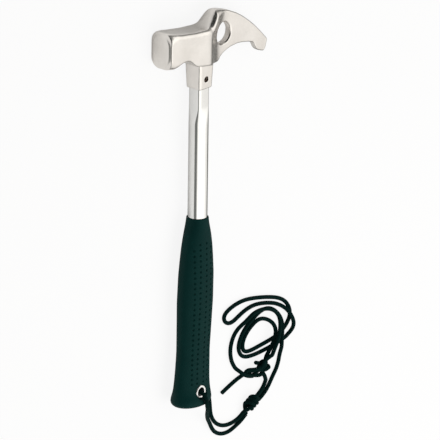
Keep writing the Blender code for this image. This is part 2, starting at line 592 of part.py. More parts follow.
def make_eyelet(hammer, metal):
    """The eyelet's flange lies in the near recess. Its barrel ends in a lip rolled over the far washer."""
    under = NEAR_SEAT + CLEARANCE
    top = under + FLANGE_THICKNESS
    washer_in = FAR_SEAT + CLEARANCE
    washer_out = washer_in + WASHER_THICKNESS
    lip_in = washer_out + CLEARANCE
    lip_out = lip_in + LIP_THICKNESS
    lip_radius = EYELET_BARREL + 0.3 * (EYELET_RADIUS - EYELET_BARREL)
    roll = 0.0002
    middle, spread = (EYELET_RADIUS + EYELET_BORE) / 2, (EYELET_RADIUS - EYELET_BORE) / 2
    dome = [(middle - spread * math.cos(a), under + roll + (top - under - roll) * math.sin(a))
            for a in np.linspace(0, math.pi, 8)]
    profile = (
        *dome, (EYELET_RADIUS, under), (EYELET_BARREL, under), (EYELET_BARREL, -lip_in),
        (lip_radius, -lip_in), (lip_radius, -lip_out), (EYELET_BORE + roll, -lip_out),
        (EYELET_BORE, -lip_out + roll),
    )
    where = (-EYELET_SET_BACK, EYELET_HEIGHT, 0)
    eyelet = place("eyelet", turned("eyelet", profile, closed=True), PIECES, hammer, where)
    add_screw(eyelet)
    finish(eyelet, metal)
    inner = EYELET_BARREL + CLEARANCE
    ring = ((inner, -washer_in), (EYELET_RADIUS, -washer_in), (EYELET_RADIUS, -washer_out), (inner, -washer_out))
    washer = place("eyelet_washer", turned("eyelet_washer", ring, closed=True), PIECES, hammer, where)
    add_screw(washer)
    finish(washer, metal)


# Cord


def smooth_route(points, per_span=24):
    """Fine points on the natural cubic spline through the route's points, each span as long as its root."""
    route = np.array(points, float) * MM
    span = np.sqrt(np.linalg.norm(np.diff(route, axis=0), axis=1))
    count = len(route)
    system, right = np.eye(count), np.zeros((count, 3))
    for i in range(1, count - 1):
        system[i, i - 1 : i + 2] = span[i - 1], 2 * (span[i - 1] + span[i]), span[i]
        right[i] = 6 * ((route[i + 1] - route[i]) / span[i] - (route[i] - route[i - 1]) / span[i - 1])
    bend = np.linalg.solve(system, right)
    t = np.linspace(0, 1, per_span, endpoint=False)[:, None]
    fine = []
    for i, length in enumerate(span):
        start, end = bend[i] * length**2 / 6, bend[i + 1] * length**2 / 6
        straight = (1 - t) * route[i] + t * route[i + 1]
        fine.append(straight + ((1 - t) ** 3 - (1 - t)) * start + (t**3 - t) * end)
    return np.concatenate([*fine, route[-1:]])


def tube_points(points):
    """Points along the smooth route, spaced so that each chord's sag stays small in the bends."""
    fine = smooth_route(points)
    fine[:, 2] = np.maximum(fine[:, 2], CORD_DIAMETER / 2 + FLOOR_GAP)
    chord = np.diff(fine, axis=0)
    length = np.linalg.norm(chord, axis=1)
    heading = chord / length[:, None]
    turn = np.arccos(np.clip((heading[1:] * heading[:-1]).sum(1), -1, 1))
    curvature = np.concatenate([[0], turn / (0.5 * (length[1:] + length[:-1])), [0]])
    curvature = np.convolve(curvature, np.ones(9) / 9, "same")
    per_step = np.sqrt(0.5 * (curvature[1:] + curvature[:-1]) / (8 * CORD_SAG))
    need = np.concatenate([[0], np.cumsum(length * np.maximum(per_step, 1 / CORD_STEP))])
    count = max(3, math.ceil(need[-1]) + 1)
    at = np.linspace(0, need[-1], count)
    return np.stack([np.interp(at, need, axis) for axis in fine.T], -1)


def strand(name, route):
    """A round tube with closed ends along the route."""
    curve = bpy.data.curves.new(name, "CURVE")
    curve.dimensions = "3D"
    curve.bevel_depth = CORD_DIAMETER / 2
    curve.bevel_resolution = 2
    curve.use_fill_caps = True
    line = curve.splines.new("POLY")
    line.points.add(len(route) - 1)
    for point, at in zip(line.points, route):
        point.co = (*at, 1)
    return curve


def make_cord(name, points, braid):
    """A free stretch of the cord. Its points are given back for its neighbours."""
    route = tube_points(points)
    finish(place(name, strand(name, route), PIECES), braid)
    return route


def as_mesh(curve):
    """The curve's tube as a mesh with its caps joined on, for a Boolean."""
    guide = place(curve.name, curve, CUTTERS)
    graph = bpy.context.evaluated_depsgraph_get()
    mesh = bpy.data.meshes.new_from_object(guide.evaluated_get(graph))
    bpy.data.objects.remove(guide)
    shape = bmesh.new()
    shape.from_mesh(mesh)
    bmesh.ops.remove_doubles(shape, verts=shape.verts, dist=1e-6)
    shape.to_mesh(mesh)
    shape.free()
    return mesh


def gap_between(one, other, apart=None):
    """Least gap between two strands, or between a strand's stretches that lie more than apart along it."""
    def close_points(route):
        steps = np.linspace(0, 1, 8, endpoint=False)[:, None, None]
        return ((1 - steps) * route[:-1] + steps * route[1:]).transpose(1, 0, 2).reshape(-1, 3)

    first, second = close_points(one), close_points(other)
    far = np.linalg.norm(first[:, None] - second[None], axis=2)
    if apart:
        run = np.concatenate([[0], np.cumsum(np.linalg.norm(np.diff(first, axis=0), axis=1))])
        far[np.abs(run[:, None] - run[None]) < apart] = 1
    return far.min() - CORD_DIAMETER


def make_knot(name, centre, heading, turns, ends, braid):
    """A tight knot: tilted turns of cord round a core, with a stub that meets each strand's end."""
    angle = math.radians(heading)
    way = np.array((math.cos(angle), math.sin(angle), 0))
    middle = np.array(centre) * MM
    reach = max(abs(shift) for shift, lean in turns) * MM
    bpy.ops.mesh.primitive_uv_sphere_add(segments=16, ring_count=10, radius=1)
    core = bpy.context.object
    core.scale = (reach + KNOT_LENGTH / 4, KNOT_CORE_RADIUS, KNOT_CORE_RADIUS)
    bpy.ops.object.transform_apply(location=False, rotation=False, scale=True)
    mesh = core.data
    bpy.data.objects.remove(core)
    knot = place(name, mesh, PIECES, None, tuple(middle), (0, 0, angle))
    for i, (shift, lean) in enumerate(turns):
        bpy.ops.mesh.primitive_torus_add(
            major_radius=KNOT_TURN_RADIUS, minor_radius=CORD_DIAMETER / 2, major_segments=18, minor_segments=8,
        )
        turn = bpy.context.object
        turn_mesh = turn.data
        bpy.data.objects.remove(turn)
        where = tuple(middle + way * shift * MM)
        ring = helper(f"{name}_turn_{i + 1}", turn_mesh, None, where, (0, math.pi / 2, angle + math.radians(lean)))
        add_boolean(knot, ring, "UNION")
    for i, (end, inward) in enumerate(ends):
        from_middle = float(np.clip(np.dot(end - middle, way), -0.7 * reach, 0.7 * reach))
        target = middle + way * from_middle
        start = end + inward * CLEARANCE
        handle = start + inward * 0.45 * np.linalg.norm(target - start)
        t = np.linspace(0, 1, 5)[:, None]
        bent = (1 - t) ** 2 * start + 2 * t * (1 - t) * handle + t**2 * target
        stub = helper(f"{name}_stub_{i + 1}", as_mesh(strand(f"{name}_stub", bent)))
        add_boolean(knot, stub, "UNION")
    finish(knot, braid)


def strand_end(route, last):
    """The end of a strand and the way that leads out of it."""
    end, before = (route[-1], route[-2]) if last else (route[0], route[1])
    return end, (end - before) / np.linalg.norm(end - before)


def make_hand_cord(braid):
    stretches = {
        "cord_near_leg": NEAR_LEG, "cord_far_leg": FAR_LEG, "cord_short_run": SHORT_RUN,
        "cord_main_loops": MAIN_LOOPS, "cord_outer_loop": OUTER_LOOP, "cord_tail": TAIL,
    }
    near, far, short, loops, outer, tail = (make_cord(name, points, braid) for name, points in stretches.items())
    lower_ends = (strand_end(near, True), strand_end(far, True), strand_end(short, False), strand_end(loops, False))
    upper_ends = (strand_end(short, True), strand_end(loops, True), strand_end(outer, False),
                  strand_end(outer, True), strand_end(tail, False),
                  (np.array(STUB_END) * MM, np.array(STUB_WAY)))
    make_knot("cord_lower_knot", LOWER_KNOT, LOWER_KNOT_HEADING, LOWER_KNOT_TURNS, lower_ends, braid)
    make_knot("cord_upper_knot", UPPER_KNOT, UPPER_KNOT_HEADING, UPPER_KNOT_TURNS, upper_ends, braid)
    beside = 6 * CORD_DIAMETER
    print(f"cord_main_loops: least gap to itself {1000 * gap_between(loops, loops, beside):.2f} mm")
    print(f"cord_outer_loop: least gap to itself {1000 * gap_between(outer, outer, beside):.2f} mm")
    print(f"cord_outer_loop: least gap to cord_main_loops {1000 * gap_between(outer, loops):.2f} mm")
    print(f"cord_outer_loop: least gap to cord_tail {1000 * gap_between(outer, tail):.2f} mm")


# Assembly

clear_scene()
PIECES = make_collection("piton_hammer")
CUTTERS = make_collection("cutters")

forged_steel = make_material("forged_steel", (0.62, 0.61, 0.59), 0.38, 1)
polished_steel = make_material("polished_steel", (0.72, 0.72, 0.72), 0.18, 1)
pin_steel = make_material("pin_steel", (0.23, 0.19, 0.16), 0.5, 1)
plug_plastic = make_material("plug_plastic", (0.03, 0.03, 0.03), 0.5, 0)
grip_rubber = make_material("grip_rubber", (0.012, 0.02, 0.02), 0.6, 0)
eyelet_metal = make_material("eyelet_metal", (0.78, 0.78, 0.77), 0.25, 1)
cord_braid = make_material("cord_braid", (0.01, 0.016, 0.016), 0.8, 0)

hammer_at_rest = bpy.data.objects.new("hammer_at_rest", None)
PIECES.objects.link(hammer_at_rest)
hammer_at_rest.location = REST_PLACE
hammer_at_rest.rotation_euler = (-REST_TILT, 0, 0)

make_head(hammer_at_rest, forged_steel)
make_shaft(hammer_at_rest, polished_steel, plug_plastic)
make_pin(hammer_at_rest, pin_steel)
make_grip(hammer_at_rest, grip_rubber)
make_eyelet(hammer_at_rest, eyelet_metal)
make_hand_cord(cord_braid)
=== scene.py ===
# %% [markdown]
# # A piton hammer, dressed for its picture
#
# This file is a lesson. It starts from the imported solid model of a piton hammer, which lies on its side on
# a table, and gives it the surfaces and finishes of the real thing: a forged head, a polished tube, a
# dimpled rubber grip, a bright eyelet and a braided hand cord with two knots.
# The solid model is the frame. It is never moved, and each new piece stands exactly where the solid that
# it replaces stood, so everything here is measured in metres in the model's own frame:
# +X runs from the striking face to the beak of the pick, +Y from the butt to the head, and +Z is up.

# %% Load the solid model and keep the size of its box
import math

import bmesh
import bpy
import numpy as np
from mathutils import Matrix


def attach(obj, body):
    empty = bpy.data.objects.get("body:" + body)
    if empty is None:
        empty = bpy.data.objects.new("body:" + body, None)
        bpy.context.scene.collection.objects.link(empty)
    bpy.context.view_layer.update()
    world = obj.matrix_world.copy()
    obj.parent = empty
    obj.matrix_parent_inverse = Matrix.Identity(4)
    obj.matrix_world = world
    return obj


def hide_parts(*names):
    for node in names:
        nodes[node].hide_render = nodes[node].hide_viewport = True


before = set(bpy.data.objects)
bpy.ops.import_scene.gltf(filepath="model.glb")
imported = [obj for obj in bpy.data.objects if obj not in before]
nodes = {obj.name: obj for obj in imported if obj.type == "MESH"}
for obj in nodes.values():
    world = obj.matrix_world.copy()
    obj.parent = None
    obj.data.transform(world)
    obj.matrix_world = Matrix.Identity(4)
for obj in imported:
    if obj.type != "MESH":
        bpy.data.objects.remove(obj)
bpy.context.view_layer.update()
print("solid pieces:", ", ".join(sorted(nodes)))

# %% [markdown]
# ## Where the hammer lies
#
# The hammer's rigid parts are easiest to describe in the hammer's own frame: x from the shaft's axis toward
# the pick, y from the butt toward the head, z out of the cheek that faces up. On the table it rests on the
# flare of its butt and on the poll's lower cheek, so its frame leans by less than half a degree.
# One function carries a whole array of points from the hammer's frame to the table's.

# %% From the hammer's frame to the table's
MM = 0.001
GAP = 0.0003  # the play between parts that fit into each other
GRIP_LENGTH, BARE_TUBE, COLLAR_LENGTH = 0.1423, 0.0974, 0.0183
COLLAR_BASE = GRIP_LENGTH + BARE_TUBE
HEAD_BASE = COLLAR_BASE + COLLAR_LENGTH
POLL_REACH, PICK_REACH = 0.0408, 0.07
CREST_HEIGHT, NECK_HEIGHT = 0.0373, 0.0267
POLL_HALF, PICK_HALF = 0.0101, 0.003
BUTT_HALF_DEPTH, BUTT_ROUND = 0.0123, 0.0045

LEAN = math.atan2(BUTT_HALF_DEPTH - POLL_HALF, HEAD_BASE + NECK_HEIGHT - BUTT_ROUND)
TABLE_PLACE = np.array((
    (POLL_REACH - PICK_REACH) / 2,
    -(HEAD_BASE + CREST_HEIGHT) / 2,
    BUTT_HALF_DEPTH * math.cos(LEAN) + BUTT_ROUND * math.sin(LEAN),
))


def lay_down(points):
    """Points of the hammer's frame in the table's: turned by the lean about x, then moved to their place."""
    x, y, z = np.moveaxis(np.asarray(points, float), -1, 0)
    c, s = math.cos(LEAN), math.sin(LEAN)
    return np.stack([x, c * y + s * z, c * z - s * y], -1) + TABLE_PLACE


print(f"the shaft leans {math.degrees(LEAN):.2f} degrees")

# %% [markdown]
# ## The camera
#
# The photograph has almost no perspective: a long lens from far away, here five metres. Its direction was
# found by matching points of the head, the grip and the eyelet. A camera looks along its own -Z, so its
# matrix is made of three columns: right, up, and back toward the photographer.

# %% Camera
VIEW_TURN, VIEW_RISE, VIEW_ROLL = math.radians(48), math.radians(20), math.radians(0.783)
VIEW_DISTANCE, SENSOR_WIDTH = 5.0, 36
PIXELS_PER_METRE, FRAME_PIXELS = 1400, 440
AIM = (0.010777, 0.139527, 0.011969)  # the point of the hammer's frame in the picture's middle


def look_from():
    """The camera's axes right, up and back in the hammer's frame: turned about the shaft, raised, rolled."""
    t, p, r = VIEW_TURN, VIEW_RISE, VIEW_ROLL
    right = np.array((math.cos(t), 0, math.sin(t)))
    up = np.array((math.sin(t) * math.sin(p), math.cos(p), -math.cos(t) * math.sin(p)))
    back = np.array((-math.sin(t) * math.cos(p), math.sin(p), math.cos(t) * math.cos(p)))
    return right * math.cos(r) + up * math.sin(r), up * math.cos(r) - right * math.sin(r), back


def put(name, data):
    """A new object in the scene, which holds a mesh, a camera or a lamp."""
    thing = bpy.data.objects.new(name, data)
    bpy.context.scene.collection.objects.link(thing)
    return thing


def stand(thing, axes, place):
    """The columns of a camera's or a lamp's matrix are its axes right, up and back, and its place."""
    matrix = np.eye(4)
    matrix[:3] = np.stack([*axes, place], -1)
    thing.matrix_world = Matrix(matrix.tolist())


def add_camera():
    """The lens in mm is sensor width times distance times pixels a metre, over the pixels of the picture."""
    data = bpy.data.cameras.new("camera")
    data.sensor_width = SENSOR_WIDTH
    data.lens = SENSOR_WIDTH * VIEW_DISTANCE * PIXELS_PER_METRE / FRAME_PIXELS
    data.clip_end = 4 * VIEW_DISTANCE
    camera = put("camera", data)
    axes = lay_down(look_from()) - lay_down((0, 0, 0))
    stand(camera, axes, lay_down(AIM) + axes[2] * VIEW_DISTANCE)
    bpy.context.scene.camera = camera
    return data.lens


print(f"lens {add_camera():.0f} mm")

# %% [markdown]
# ## Surfaces from arrays
#
# Nearly every piece here is a surface over a grid: rings of points, one after another. If the rings are one
# numpy array, the faces are simple sums of row and column numbers, and no loop runs over the points.
# The first and last ring are closed with a fan of triangles round their middle, or joined to each other.
# A volume counted from the faces tells whether they point outwards; if it is negative, they are turned.

# %% A closed skin over rings of points
def skin(name, rings, joined=False, lengths=None):
    """Mesh over an array (rings, points, 3): points k and k + 1 of ring i and the same two of ring i + 1 make
    a face. lengths adds a UV map: u goes once round each ring, and v is the length along, in metres."""
    rows, count = rings.shape[:2]
    index = np.arange(rows * count).reshape(rows, count)
    here, there = (index, np.roll(index, -1, 0)) if joined else (index[:-1], index[1:])
    faces = np.stack([here, np.roll(here, -1, 1), np.roll(there, -1, 1), there], -1).reshape(-1, 4)
    points = rings.reshape(-1, 3)
    a, b, c, d = (points[faces[:, k]] for k in range(4))
    volume = np.einsum("ij,ij->", a, np.cross(b, c) + np.cross(c, d))
    caps = []
    if not joined:
        points = np.concatenate([points, rings[:1].mean(1), rings[-1:].mean(1)])
        middle, first, last = np.full(count, rows * count), index[0], index[-1]
        caps = [np.stack([middle, np.roll(first, -1), first], -1),
                np.stack([middle + 1, last, np.roll(last, -1)], -1)]
        for cap in caps:
            a, b, c = (points[cap[:, k]] for k in range(3))
            volume += np.einsum("ij,ij->", a, np.cross(b, c))
    turn = slice(None, None, -1 if volume < 0 else 1)
    polygons = [row for block in (faces, *caps) for row in block[:, turn].tolist()]
    mesh = bpy.data.meshes.new(name)
    mesh.from_pydata(points.tolist(), [], polygons)
    if lengths is not None:
        u = np.arange(count + 1) / count
        u0, u1 = np.tile(u[:-1], rows - 1), np.tile(u[1:], rows - 1)
        v0, v1 = np.repeat(lengths[:-1], count), np.repeat(lengths[1:], count)
        corners = np.stack([np.stack(pair, -1) for pair in ((u0, v0), (u1, v0), (u1, v1), (u0, v1))], 1)
        ends = [np.tile((0.5, end), 3 * count) for end in (lengths[0], lengths[-1])]
        flat = np.concatenate([corners[:, turn].ravel(), *ends])
        mesh.uv_layers.new(name="along_cord").data.foreach_set("uv", flat)
    mesh.shade_smooth()
    return mesh


def show(name, mesh, material, slot, *replaced, crease=50):
    """Puts a mesh in the scene as a piece of the hammer, in the place of the solids that it replaces. Edges
    over the crease angle stay sharp."""
    piece = put(name, mesh)
    mesh.materials.append(material)
    mesh.set_sharp_from_angle(angle=math.radians(crease))
    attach(piece, "root")
    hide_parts(*replaced)
    return piece


# %% [markdown]
# Profiles of forged and moulded parts are drawn as a few (place, value) points. Joining them with straight
# lines would leave facets, so the line through them is smoothed: it is read off finely, then averaged with
# a bell-shaped weight a millimetre or two wide. Polished metal shows every kink, and this has none.

# %% A soft line through a few points, and the outlines of boxes and turned pieces
def soft_line(keys, x, width):
    """Values at x of the straight line through the keys, averaged with a Gaussian weight of that width over
    three widths to each side. Outside the keys the line goes on as it ends."""
    keys = np.array(keys, float)
    first, last = keys[[0, -1]] + 9 * (keys[[0, -1]] - keys[[1, -2]])
    places, values = np.array([first, *keys, last]).T
    reach = np.linspace(-3, 3, 61)
    weight = np.exp(-(reach**2) / 2)
    line = np.interp(np.asarray(x, float)[..., None] + width * reach, places, values)
    return (line * weight).sum(-1) / weight.sum()


def smooth_step(value, start, length):
    """0 before start and 1 after start + length. Between them, with t from 0 to 1, t squared times 3 - 2t."""
    t = np.clip((value - start) / length, 0, 1)
    return t * t * (3 - 2 * t)


def arc(middle, radius, quarter, steps):
    """Points of a quarter circle: middle plus radius times (cos, sin) of an angle. Works on whole arrays."""
    angle = (quarter + np.linspace(0, 1, steps)) * math.pi / 2
    x, y = (np.asarray(value, float)[..., None] for value in middle)
    r = np.asarray(radius, float)[..., None]
    return np.stack([x + r * np.cos(angle), y + r * np.sin(angle)], -1)


CORNER_POINTS = 10


def box_outline(low, high, half, low_radius, high_radius, steps=CORNER_POINTS):
    """Outlines of boxes with rounded corners, from low to high and -half to half: four quarter circles."""
    return np.concatenate([
        arc((high - high_radius, half - high_radius), high_radius, 0, steps),
        arc((low + low_radius, half - low_radius), low_radius, 1, steps),
        arc((low + low_radius, low_radius - half), low_radius, 2, steps),
        arc((high - high_radius, high_radius - half), high_radius, 3, steps),
    ], axis=-2)


def turned(profile, place, steps=72):
    """Rings of a turned piece that stands on a place (x, y): each (radius, z) of the profile gives the place
    plus radius times (cos, sin) round the circle, at the height z."""
    radius, z = np.array(profile, float).T[..., None]
    angle = np.linspace(0, 2 * math.pi, steps, endpoint=False)
    x, y = place
    return np.stack([x + radius * np.cos(angle), y + radius * np.sin(angle), z + 0 * angle], -1)


print(f"a soft kink of width 0.1 peaks at {soft_line(((0, 0), (1, 1), (2, 0)), 1.0, 0.1):.3f} instead of 1")

# %% [markdown]
# ## Finishes from shader nodes
#
# A finish is a small network of nodes. One helper adds a node, fills in its values and links what is given
# as a socket. Effects that several finishes share are node groups with named inputs and outputs, built once:
# a grain that can be stretched in one direction, and a cloudy stain that mixes two colours.
# Polished steel takes the grain shallow, rubber seven times as deep, and the tube takes it long and thin, as
# the marks of drawing.

# %% Nodes
def feed(tree, target, value):
    """Links a socket to the target, or writes a plain value in it."""
    if isinstance(value, bpy.types.NodeSocket):
        tree.links.new(value, target)
    else:
        target.default_value = value


def add_node(tree, kind, inputs=None, **settings):
    """A new shader node with its settings. Inputs are values, or sockets of other nodes to link."""
    made = tree.nodes.new("ShaderNode" + kind)
    for key, value in settings.items():
        setattr(made, key, value)
    for key, value in (inputs or {}).items():
        feed(tree, made.inputs[key], value)
    return made


def maths(tree, operation, *values):
    """The result of a Math node on one, two or three values."""
    return add_node(tree, "Math", dict(enumerate(values)), operation=operation).outputs[0]


def ramp(tree, value, start, end, low=0.0, high=1.0, kind="LINEAR"):
    """Goes from low to high while the value goes from start to end, and stays there outside of them."""
    inputs = {"Value": value, "From Min": start, "From Max": end, "To Min": low, "To Max": high}
    return add_node(tree, "MapRange", inputs, interpolation_type=kind).outputs[0]


def mix_colours(tree, factor, first, second):
    """The first colour where the factor is 0, the second where it is 1, and a mixture between."""
    mix = add_node(tree, "Mix", {"Factor": factor}, data_type="RGBA")
    sockets = {socket.name: socket for socket in mix.inputs if socket.type == "RGBA"}
    feed(tree, sockets["A"], first)
    feed(tree, sockets["B"], second)
    return next(socket for socket in mix.outputs if socket.type == "RGBA")


def new_group(name, takes, gives):
    """An empty node group with named inputs and one output: its tree, and the sockets at both ends of it."""
    tree = bpy.data.node_groups.new(name, "ShaderNodeTree")
    for label, (kind, value) in takes.items():
        socket = tree.interface.new_socket(label, in_out="INPUT", socket_type="NodeSocket" + kind)
        if value is not None:
            socket.default_value = value
    tree.interface.new_socket(gives[0], in_out="OUTPUT", socket_type="NodeSocket" + gives[1])
    return tree, tree.nodes.new("NodeGroupInput").outputs, tree.nodes.new("NodeGroupOutput").inputs


def use_group(tree, group, **values):
    """The outputs of a node group that is placed in a material with its own values."""
    made = add_node(tree, "Group", node_tree=group)
    for key, value in values.items():
        feed(tree, made.inputs[key.replace("_", " ")], value)
    return made.outputs


# %% The two shared effects
def grain_group():
    """Grain: noise on stretched coordinates, spread from 0 to 1. Its output is a mask."""
    takes = {"Place": ("Vector", None), "Stretch": ("Vector", (1, 1, 1)), "Cells per metre": ("Float", 1000),
             "Sharpness": ("Float", 0.5)}
    tree, given, out = new_group("grain", takes, ("Mask", "Float"))
    spread = add_node(tree, "VectorMath", {0: given["Place"], 1: given["Stretch"]}, operation="MULTIPLY")
    noise = add_node(tree, "TexNoise", {"Vector": spread.outputs[0], "Scale": given["Cells per metre"],
                                        "Detail": 3.0, "Roughness": given["Sharpness"]})
    tree.links.new(ramp(tree, noise.outputs["Fac"], 0.3, 0.7), out["Mask"])
    return tree


def stain_group():
    """Stain: one colour mixed into another by slow clouds. The amount says how much of it shows at most."""
    takes = {"Place": ("Vector", None), "Cells per metre": ("Float", 60),
             "Colour": ("Color", (0.5, 0.5, 0.5, 1)), "Stain colour": ("Color", (0.4, 0.4, 0.4, 1)),
             "Amount": ("Float", 0.5)}
    tree, given, out = new_group("stain", takes, ("Colour", "Color"))
    clouds = add_node(tree, "TexNoise", {"Vector": given["Place"], "Scale": given["Cells per metre"],
                                         "Detail": 4.0, "Roughness": 0.6})
    part = maths(tree, "MULTIPLY", ramp(tree, clouds.outputs["Fac"], 0.35, 0.7), given["Amount"])
    tree.links.new(mix_colours(tree, part, given["Colour"], given["Stain colour"]), out["Colour"])
    return tree


GRAIN, STAIN = grain_group(), stain_group()
print("shared effects:", GRAIN.name, "and", STAIN.name)


# %% From masks to a surface
def new_material(name, **plain):
    """A material, its tree and its shader. Values that are the same all over are set on the shader itself."""
    material = bpy.data.materials.new(name)
    material.use_nodes = True
    tree = material.node_tree
    shader = tree.nodes["Principled BSDF"]
    for key, value in plain.items():
        shader.inputs[key.replace("_", " ")].default_value = value
    return material, tree, shader


def relief_from(tree, shader, mask, depth, strength=1.0, **under):
    """A bump of that depth in metres from a mask. Normal=... is a coarser bump that it lies on."""
    bump = add_node(tree, "Bump", {"Height": mask, "Distance": depth, "Strength": strength, **under})
    tree.links.new(bump.outputs[0], shader.inputs["Normal"])
    return bump.outputs[0]


def finish(name, colour, stain, amount, clouds, grain, rough, relief=0, stretch=(1, 1, 1), sharp=0.6,
           **plain):
    """A stained colour with a grain. clouds counts the stain's cells in a metre, and grain is the size of one
    grain in metres. Its mask runs the roughness between the two of rough, and stands out by the relief."""
    material, tree, shader = new_material(name, **plain)
    place = add_node(tree, "TexCoord").outputs["Object"]
    tint = use_group(tree, STAIN, Place=place, Cells_per_metre=clouds, Colour=(*colour, 1),
                     Stain_colour=(*stain, 1), Amount=amount)
    mask = use_group(tree, GRAIN, Place=place, Stretch=stretch, Cells_per_metre=1 / grain,
                     Sharpness=sharp)["Mask"]
    tree.links.new(tint["Colour"], shader.inputs["Base Color"])
    tree.links.new(ramp(tree, mask, 0.0, 1.0, *rough), shader.inputs["Roughness"])
    if relief:
        relief_from(tree, shader, mask, relief)
    return material


# %% [markdown]
# ## Steel
#
# The head is forged, ground with a fine belt and lightly tumbled: satin, with a warm tint and faint cloudy
# marks. The tube is drawn and polished, so its marks run along it. The pin is plain spring steel, darker and
# a little rusty in its hole. The eyelet is plated: the palest of the four, and softer than a mirror. One
# function makes them all from the two groups, because they differ only in their numbers.

# %% Steel finishes
FORGED = finish("satin_forged_steel", colour=(0.85, 0.82, 0.785), stain=(0.66, 0.63, 0.59), amount=0.5,
                clouds=45, grain=0.0006, rough=(0.2, 0.29), relief=0.00001, Metallic=1.0)
POLISHED = finish("polished_drawn_steel", colour=(0.86, 0.86, 0.85), stain=(0.74, 0.74, 0.72), amount=0.4,
                  clouds=45, grain=0.0012, rough=(0.07, 0.15), relief=0.000004, stretch=(1, 0.04, 1),
                  Metallic=1.0)
PIN_STEEL = finish("spring_steel", colour=(0.25, 0.21, 0.18), stain=(0.16, 0.08, 0.045), amount=0.8,
                   clouds=500, grain=0.0004, rough=(0.4, 0.6), relief=0.00002, Metallic=1.0)
PLATED = finish("bright_plating", colour=(0.97, 0.97, 0.96), stain=(0.9, 0.9, 0.88), amount=0.3,
                clouds=300, grain=0.0005, rough=(0.26, 0.38), relief=0.000004, Metallic=1.0)
print("steel:", ", ".join(made.name for made in (FORGED, POLISHED, PIN_STEEL, PLATED)))

# %% [markdown]
# ## Rubber and cord
#
# The grip is moulded rubber, nearly black with a green tint, matt and slightly mottled. The cord is a braid
# of dyed yarns, the same colour, but it scatters light at its edges, which the shader's sheen does. The
# braid itself follows the cord, so its pattern reads the cord's own UV map: two sets of yarns wind round
# it in opposite directions, and a chessboard of cells says which set lies on top. Each yarn is painted
# darker towards its edges: painted shade in the grooves between the yarns.

# %% Rubber, plastic and braid
RUBBER = finish("moulded_rubber", colour=(0.0002, 0.0205, 0.0186), stain=(0.0005, 0.0245, 0.0222), amount=0.7,
                clouds=120, grain=1 / 1800, rough=(0.42, 0.58), relief=0.00003, sharp=0.7,
                IOR=1.5, Specular_IOR_Level=0.07)
PLASTIC = finish("black_plastic", colour=(0.02, 0.02, 0.02), stain=(0.035, 0.035, 0.035), amount=0.5,
                 clouds=200, grain=0.0004, rough=(0.4, 0.6))
BRAID_YARNS, BRAID_CELL = 8, 0.00115  # yarns of one set round the cord, and the length in which they cross
YARN_FIBRES, CORD_ROUGH = 5, (0.6, 0.85)
YARN_DEPTH, FIBRE_DEPTH, FIBRE_STRENGTH = 0.0001, 0.00002, 0.7
# The first colour below is painted shade: it darkens each yarn towards its edges, in the grooves between
# yarns.
YARN_GROOVE_SHADE, YARN_PALE = (0.0002, 0.0038, 0.0032, 1), (0.0008, 0.0135, 0.0118, 1)
YARN_WORN = (0.0012, 0.0165, 0.0148, 1)


def braid():
    """Yarns wind both ways: a = yarns * u + v / cell and b = yarns * u - v / cell count them, and |sin| of
    pi times each rounds them. Where floor(a) + floor(b) is even the first set is on top, else the other."""
    material, tree, shader = new_material("braided_cord", Sheen_Weight=0.03, Sheen_Roughness=0.4,
                                          Sheen_Tint=(0.3, 0.7, 0.65, 1), Specular_IOR_Level=0.05)
    along_cord = add_node(tree, "UVMap", uv_map="along_cord").outputs[0]
    u, v, _ = add_node(tree, "SeparateXYZ", {0: along_cord}).outputs
    round_it, along_it = maths(tree, "MULTIPLY", u, float(BRAID_YARNS)), maths(tree, "DIVIDE", v, BRAID_CELL)
    ways = [maths(tree, operation, round_it, along_it) for operation in ("ADD", "SUBTRACT")]
    cells = maths(tree, "ADD", *(maths(tree, "FLOOR", way) for way in ways))
    on_top = maths(tree, "FLOORED_MODULO", cells, 2.0)

    def threads(count):
        """Rounded threads, count in each yarn, of the set that lies on top."""
        waves = (maths(tree, "SINE", maths(tree, "MULTIPLY", way, math.pi * count)) for way in ways)
        first, second = (maths(tree, "ABSOLUTE", wave) for wave in waves)
        mix = add_node(tree, "Mix", {"Factor": on_top, "A": first, "B": second}, data_type="FLOAT")
        return mix.outputs["Result"]

    yarns, fibres = threads(1), threads(YARN_FIBRES)
    # Painted shade: the yarns' mask darkens the colour towards each yarn's edge; the same mask also gives the
    # real relief below.
    tint = use_group(tree, STAIN, Place=add_node(tree, "TexCoord").outputs["Object"], Cells_per_metre=150,
                     Colour=mix_colours(tree, yarns, YARN_GROOVE_SHADE, YARN_PALE), Stain_colour=YARN_WORN,
                     Amount=0.3)
    tree.links.new(tint["Colour"], shader.inputs["Base Color"])
    tree.links.new(ramp(tree, fibres, 0.0, 1.0, *CORD_ROUGH), shader.inputs["Roughness"])
    coarse = relief_from(tree, shader, yarns, YARN_DEPTH)
    relief_from(tree, shader, fibres, FIBRE_DEPTH, FIBRE_STRENGTH, Normal=coarse)
    return material


BRAID = braid()
print("soft finishes:", ", ".join(made.name for made in (RUBBER, PLASTIC, BRAID)))

# %% [markdown]
# ## The head
#
# A hammer head like this is drop forged in one piece: a blunt poll, a thin curved pick, and a square socket
# for the tube. Its edges are soft because hot steel rounds itself in the die and a belt takes off the rest.
# A bevel on such a shape fails where edges run into each other, so the head is made as it would be in clay:
# a loft over many rounded sections, joined to the socket, cut with the pin's hole and the carabiner hole,
# and then remade from small even cells and smoothed a little, which leaves a fillet at every corner.

